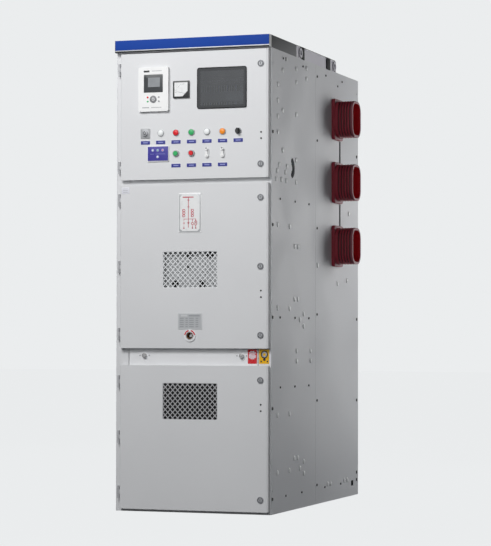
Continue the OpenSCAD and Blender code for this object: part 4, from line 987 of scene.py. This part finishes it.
def slot_shade_lips():
    """Dark rubber lips on both sides of the slots between the bushings, and round the curved slot in front:
    painted shade that widens the dark of the slots.
    """
    bm = bmesh.new()
    for low, high in zip(BUSHING_HEIGHTS, BUSHING_HEIGHTS[1:]):
        for y in (395, 412.5):
            block(bm, (HALF_WIDTH, y, low + 107.5), (HALF_WIDTH + 0.8, y + 6.5, high - 107.5), 0.2)
    for inner, outer in ((16.5, 23.6), (44.4, 51.5)):
        lip = arc_strip(bm, ((0, 0, inner), (0, 0, outer)), "X", -12, 156, 24, (HALF_WIDTH, *ARC_SLOT))
        thicken(bm, lip, (1.2, 0, 0))
    bmesh.ops.recalc_face_normals(bm, faces=bm.faces[:])
    piece("slot_shade_lips", bm, rubber, "cabinet")


def rear_fixings():
    """Screws across the rear covers, between the rows that the covers' edges carry."""
    bm = bmesh.new()
    for low, high in REAR_COVERS:
        for x in (-190, 0, 190):
            for z in (low + 15, high - 15):
                turned(bm, outward(disc(6, 2.3, 1), -1), (x, REAR, z), steps=12)
    piece("rear_cover_screws", bm, nickel, "cabinet")


side_fixings()
rear_fixings()
slot_shade_lips()


# Wall bushings: width, height and corner radius of each kind of section, then widths along X
BARREL, GROOVE, SHED = (144, 176, 49), (140, 172, 47), (158, 190, 56)
BORE, FLANGE = (134, 166, 44), (156, 214, 20)
FLANGE_DEPTH = 17
SHED_GAP = 8
SHED_WIDTH = 7
RIM_WIDTH = 12


def eased(size, by):
    """A section's width, height and corner radius, each side taken in by a distance."""
    width, height, radius = size
    return width - 2 * by, height - 2 * by, radius - by


def loft(bm, centre, sections):
    """Joins round-cornered sections along X, each (size, x, tone), into one wall that closes on itself."""
    loops = []
    for size, x, tone in sections:
        before = set(bm.faces)
        sheet_shape(bm, size[:2], size[2], steps=8)
        cap = fresh(bm.faces, before)[0]
        verts = list(cap.verts)
        bmesh.ops.delete(bm, geom=[cap], context="FACES_ONLY")
        turn(bm, verts, 90, "Z")
        move(bm, verts, (x, *centre))
        loops.append((verts, tone))
    for i, (first, tone) in enumerate(loops):
        second = loops[(i + 1) % len(loops)][0]
        for k in range(len(first)):
            bm.faces.new((first[k - 1], first[k], second[k], second[k - 1])).material_index = tone


def shed_sections(start, end, size, ease, tone):
    """Sections of a ring between two X places, with its two rims eased."""
    return [(eased(size, ease), start, tone), (size, start + ease, tone), (size, end - ease, tone),
            (eased(size, ease), end, tone)]


def bushings():
    """The three bushings as ribbed castings, from the flange on the sheet to the rim."""
    low, high = corners("wall_bushings")
    flange, shoulder, tip = HALF_WIDTH + FLANGE_DEPTH, HALF_WIDTH + 2 * FLANGE_DEPTH, high.x
    bm = bmesh.new()
    for z in BUSHING_HEIGHTS:
        sections = [(BORE, low.x, 0), (BARREL, low.x, 0), (BARREL, HALF_WIDTH, 0), (FLANGE, HALF_WIDTH, 0),
                    (FLANGE, flange - 1.5, 0), (eased(FLANGE, 1.5), flange, 1)]
        sections += shed_sections(flange, shoulder, SHED, 1.8, 0)
        for k in range(4):
            start = shoulder + SHED_GAP + (SHED_GAP + SHED_WIDTH) * k
            sections += [(GROOVE, start - SHED_GAP, 3), (GROOVE, start, 3)]
            sections += shed_sections(start, start + SHED_WIDTH, SHED, 2.2, 0)
        sections += [(GROOVE, tip - RIM_WIDTH - SHED_GAP, 3), (GROOVE, tip - RIM_WIDTH, 3)]
        sections += shed_sections(tip - RIM_WIDTH, tip, SHED, 2, 1)
        sections += [(BORE, tip, 2)]
        loft(bm, (BUSHING_Y, z), sections)
    # Tones of the casting: painted sheen on the flange step and rim, painted light in the bore, painted shade
    # between the sheds
    made = piece("ribbed_bushings", bm, [cast_epoxy, painted_sheen_epoxy, bore_epoxy, shade_epoxy], "cabinet",
                 crease=30)
    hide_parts("wall_bushings")


bushings()

# Relief duct: clamps over its edges and rings round its lifting eyes
DUCT_EYES = (-269, 309)
EYE_Z = 2268


def duct_details():
    """Rubber straps over the duct's edges, its edge strips, and dark rings round its lifting eyes."""
    low, high = corners("relief_duct")
    top = high.z
    clamps = bmesh.new()
    for side in (-1, 1):
        outer = side * (HALF_WIDTH + 1.5)
        for y0, y1 in ((-256, -209), (166, 233)):
            x0, x1 = sorted((outer, side * (HALF_WIDTH - 2)))
            block(clamps, (x0, y0, PANEL_TOP - 2), (x1, y1, top - 4), 0.5)
            x0, x1 = sorted((outer, side * (HALF_WIDTH - 26)))
            block(clamps, (x0, y0, top - 8), (x1, y1, top - 4), 0.5)
        x0, x1 = sorted((side * (HALF_WIDTH - 1.5), side * (HALF_WIDTH + 0.4)))
        block(clamps, (x0, low.y + 0.5, top - 7), (x1, high.y - 12, top - 4.2), 0.2)
        for y in DUCT_EYES:
            turned(clamps, outward(ring(24, 27.5, 1, 0.2), side), (side * HALF_WIDTH, y, EYE_Z), axis="X")
    piece("duct_clamps", clamps, rubber, "cabinet")


# Height of each row of terminals, with where its wires start and end above or below it
TERMINAL_RUNS = {1760: ((22, 75),), 1960: ((-75, -22), (22, 65)), 2130: ((-55, -22),)}
TERMINAL_PITCH = 9


def terminal_fronts():
    """Marker strips, screws and bodies of the terminals, and the wires from them into the ducts."""
    front = corners("terminal_rails")[1].y - 48
    bm, wires = bmesh.new(), bmesh.new()
    for z, runs in TERMINAL_RUNS.items():
        for k in range(-18, 19):
            x = k * TERMINAL_PITCH
            tile(bm, (x, z), (8, 40), front + 1, 4, 0, 0.6)
            tile(bm, (x, z), (6.4, 8), front - 2, 1.6, 1)
            for dz in (-12, 12):
                turned(bm, disc(2.7, 0.8, 0.3), (x, front - 3, z + dz), steps=8, tone=2)
            for low, high in runs:
                place = (x, front + 14 + 3 * (k % 3), z + low)
                turned(wires, disc(1.7, high - low, 0.1), place, axis="Z", steps=6, tone=k % 5 == 0)
    piece("terminal_fronts", bm, [polyamide, white_abs, nickel], "cabinet")
    piece("control_wires", wires, [black_pvc, blue_pvc], "cabinet")
    board = bmesh.new()
    plate(board, (0, 1920), (660, 560), 6, 1.6, front + 46, 0.4)
    piece("terminal_board", board, powder_coat, "cabinet")


def truck_cover():
    """Front cover of the breaker: a pierced sheet on four posts, with rims round its holes."""
    front, face = FACE + 30, corners("truck_frame")[0].y + 12
    spots = [(-23, 1246, 14), (86, 1246, 14), (-93, 1106, 15), (46, 1106, 15), (-24, 1187, 6)]
    bm = bmesh.new()
    bmesh.ops.create_grid(bm, x_segments=1, y_segments=1, size=0.5)
    bmesh.ops.scale(bm, vec=(480, 400, 1), verts=bm.verts[:])
    move(bm, bm.verts[:], (0, 1100, 0))
    bmesh.ops.delete(bm, geom=bm.faces[:], context="FACES_ONLY")
    for x, z, radius in spots:
        bmesh.ops.create_circle(bm, cap_ends=False, segments=32, radius=radius,
                                matrix=Matrix.Translation((x, z, 0)))
    bmesh.ops.triangle_fill(bm, edges=bm.edges[:], use_beauty=True, use_dissolve=False)
    turn(bm, bm.verts[:], 90, "X")
    move(bm, bm.verts[:], (0, front, 0))
    thicken(bm, bm.faces[:], (0, 2, 0))
    bmesh.ops.recalc_face_normals(bm, faces=bm.faces[:])
    for x, z in four((0, 1100), 225, 185):
        turned(bm, disc(7, face - front - 1.9, 0.5), (x, face, z), steps=16)
    piece("truck_cover", bm, truck_coat, "truck", crease=30)
    rims = bmesh.new()
    for x, z, radius in spots:
        turned(rims, ring(radius - 0.6, radius + 3, 1.8, 0.6), (x, front, z), steps=24)
    piece("truck_cover_rims", rims, black_abs, "truck")


duct_details()
terminal_fronts()
truck_cover()

# Floor and backdrop in one pale tone; the floor shows part of its shade, and the world lights faintly
BACKGROUND = linear("#EBEDEE")
FLOOR_SHARE = 0.94
FLOOR_GLOW = 1.045
AMBIENT = 0.05


def seen_by(tree, *rays):
    """Socket that is one for rays of any of the named kinds."""
    path = add(tree, "ShaderNodeLightPath")
    seen = path.outputs[rays[0]]
    for ray in rays[1:]:
        seen = add(tree, "ShaderNodeMath", {0: seen, 1: path.outputs[ray]}, operation="MAXIMUM").outputs[0]
    return seen


def pale_ground(name):
    """Smooth studio floor: the camera sees its own pale tone, a little darker where the object shades it."""
    material = bpy.data.materials.new(name)
    material.use_nodes = True
    tree = material.node_tree
    shader = tree.nodes["Principled BSDF"]
    shader.inputs["Base Color"].default_value = linear("#66686A")
    shader.inputs["Roughness"].default_value = 0.9
    seen = seen_by(tree, "Is Camera Ray", "Is Glossy Ray", "Is Transmission Ray")
    share = add(tree, "ShaderNodeMath", {0: seen, 1: FLOOR_SHARE}, operation="MULTIPLY")
    glow = add(tree, "ShaderNodeEmission", {"Color": BACKGROUND, "Strength": FLOOR_GLOW})
    mix_shaders(tree, "Material Output", share.outputs[0], shader, glow)
    return material


def studio():
    """Wide floor, and a world that looks pale to the camera and lights the object only a little."""
    floor_mesh = bpy.data.meshes.new("studio_floor")
    bm = bmesh.new()
    bmesh.ops.create_grid(bm, x_segments=1, y_segments=1, size=40)
    bm.to_mesh(floor_mesh)
    bm.free()
    floor_mesh.materials.append(pale_ground("studio_floor_grey"))
    floor = bpy.data.objects.new("studio_floor", floor_mesh)
    bpy.context.scene.collection.objects.link(floor)
    world = bpy.data.worlds.new("studio_world")
    bpy.context.scene.world = world
    world.use_nodes = True
    tree = world.node_tree
    ambient = tree.nodes["Background"]
    ambient.inputs["Color"].default_value = linear("#DDE0E4")
    ambient.inputs["Strength"].default_value = AMBIENT
    shown = add(tree, "ShaderNodeBackground", {"Color": BACKGROUND, "Strength": 1.0})
    seen = seen_by(tree, "Is Camera Ray", "Is Transmission Ray")
    mix_shaders(tree, "World Output", seen, ambient, shown)


# Place, target, size and power of each soft lamp
LAMPLIGHT = {
    "key_front_high": ((-0.9, -4.25, 4.1), (0, -0.75, 1.6), (2.8, 1.4), 170),
    "key_front_low": ((0.4, -5.5, 2.6), (0, -0.75, 1.0), (1.6, 1.4), 42),
    "rim_right_rear": ((2.1, 2.6, 2.0), (0.4, 0.3, 1.3), (1.2, 1.8), 31),
    "rim_low_rear": ((1.7, 3.4, 1.2), (0.4, 0.5, 1.0), (2.2, 2.0), 26),
    "side_right": ((3.2, -2.4, 1.9), (0.4, -0.3, 1.3), (1.6, 1.6), 9),
    "fill_left_rear": ((-3.4, 4.6, 3.0), (-0.2, 0.6, 1.2), (2.4, 2.0), 90),
}


def area_light(name, place, target, size, power):
    """Soft white lamp at a place, turned to a target."""
    data = bpy.data.lights.new(name, "AREA")
    data.shape = "RECTANGLE"
    data.size, data.size_y = size
    data.energy = power
    made = bpy.data.objects.new(name, data)
    made.location = place
    made.rotation_euler = (Vector(target) - Vector(place)).to_track_quat("-Z", "Y").to_euler()
    bpy.context.scene.collection.objects.link(made)


studio()
for lamp, setting in LAMPLIGHT.items():
    area_light(lamp, *setting)
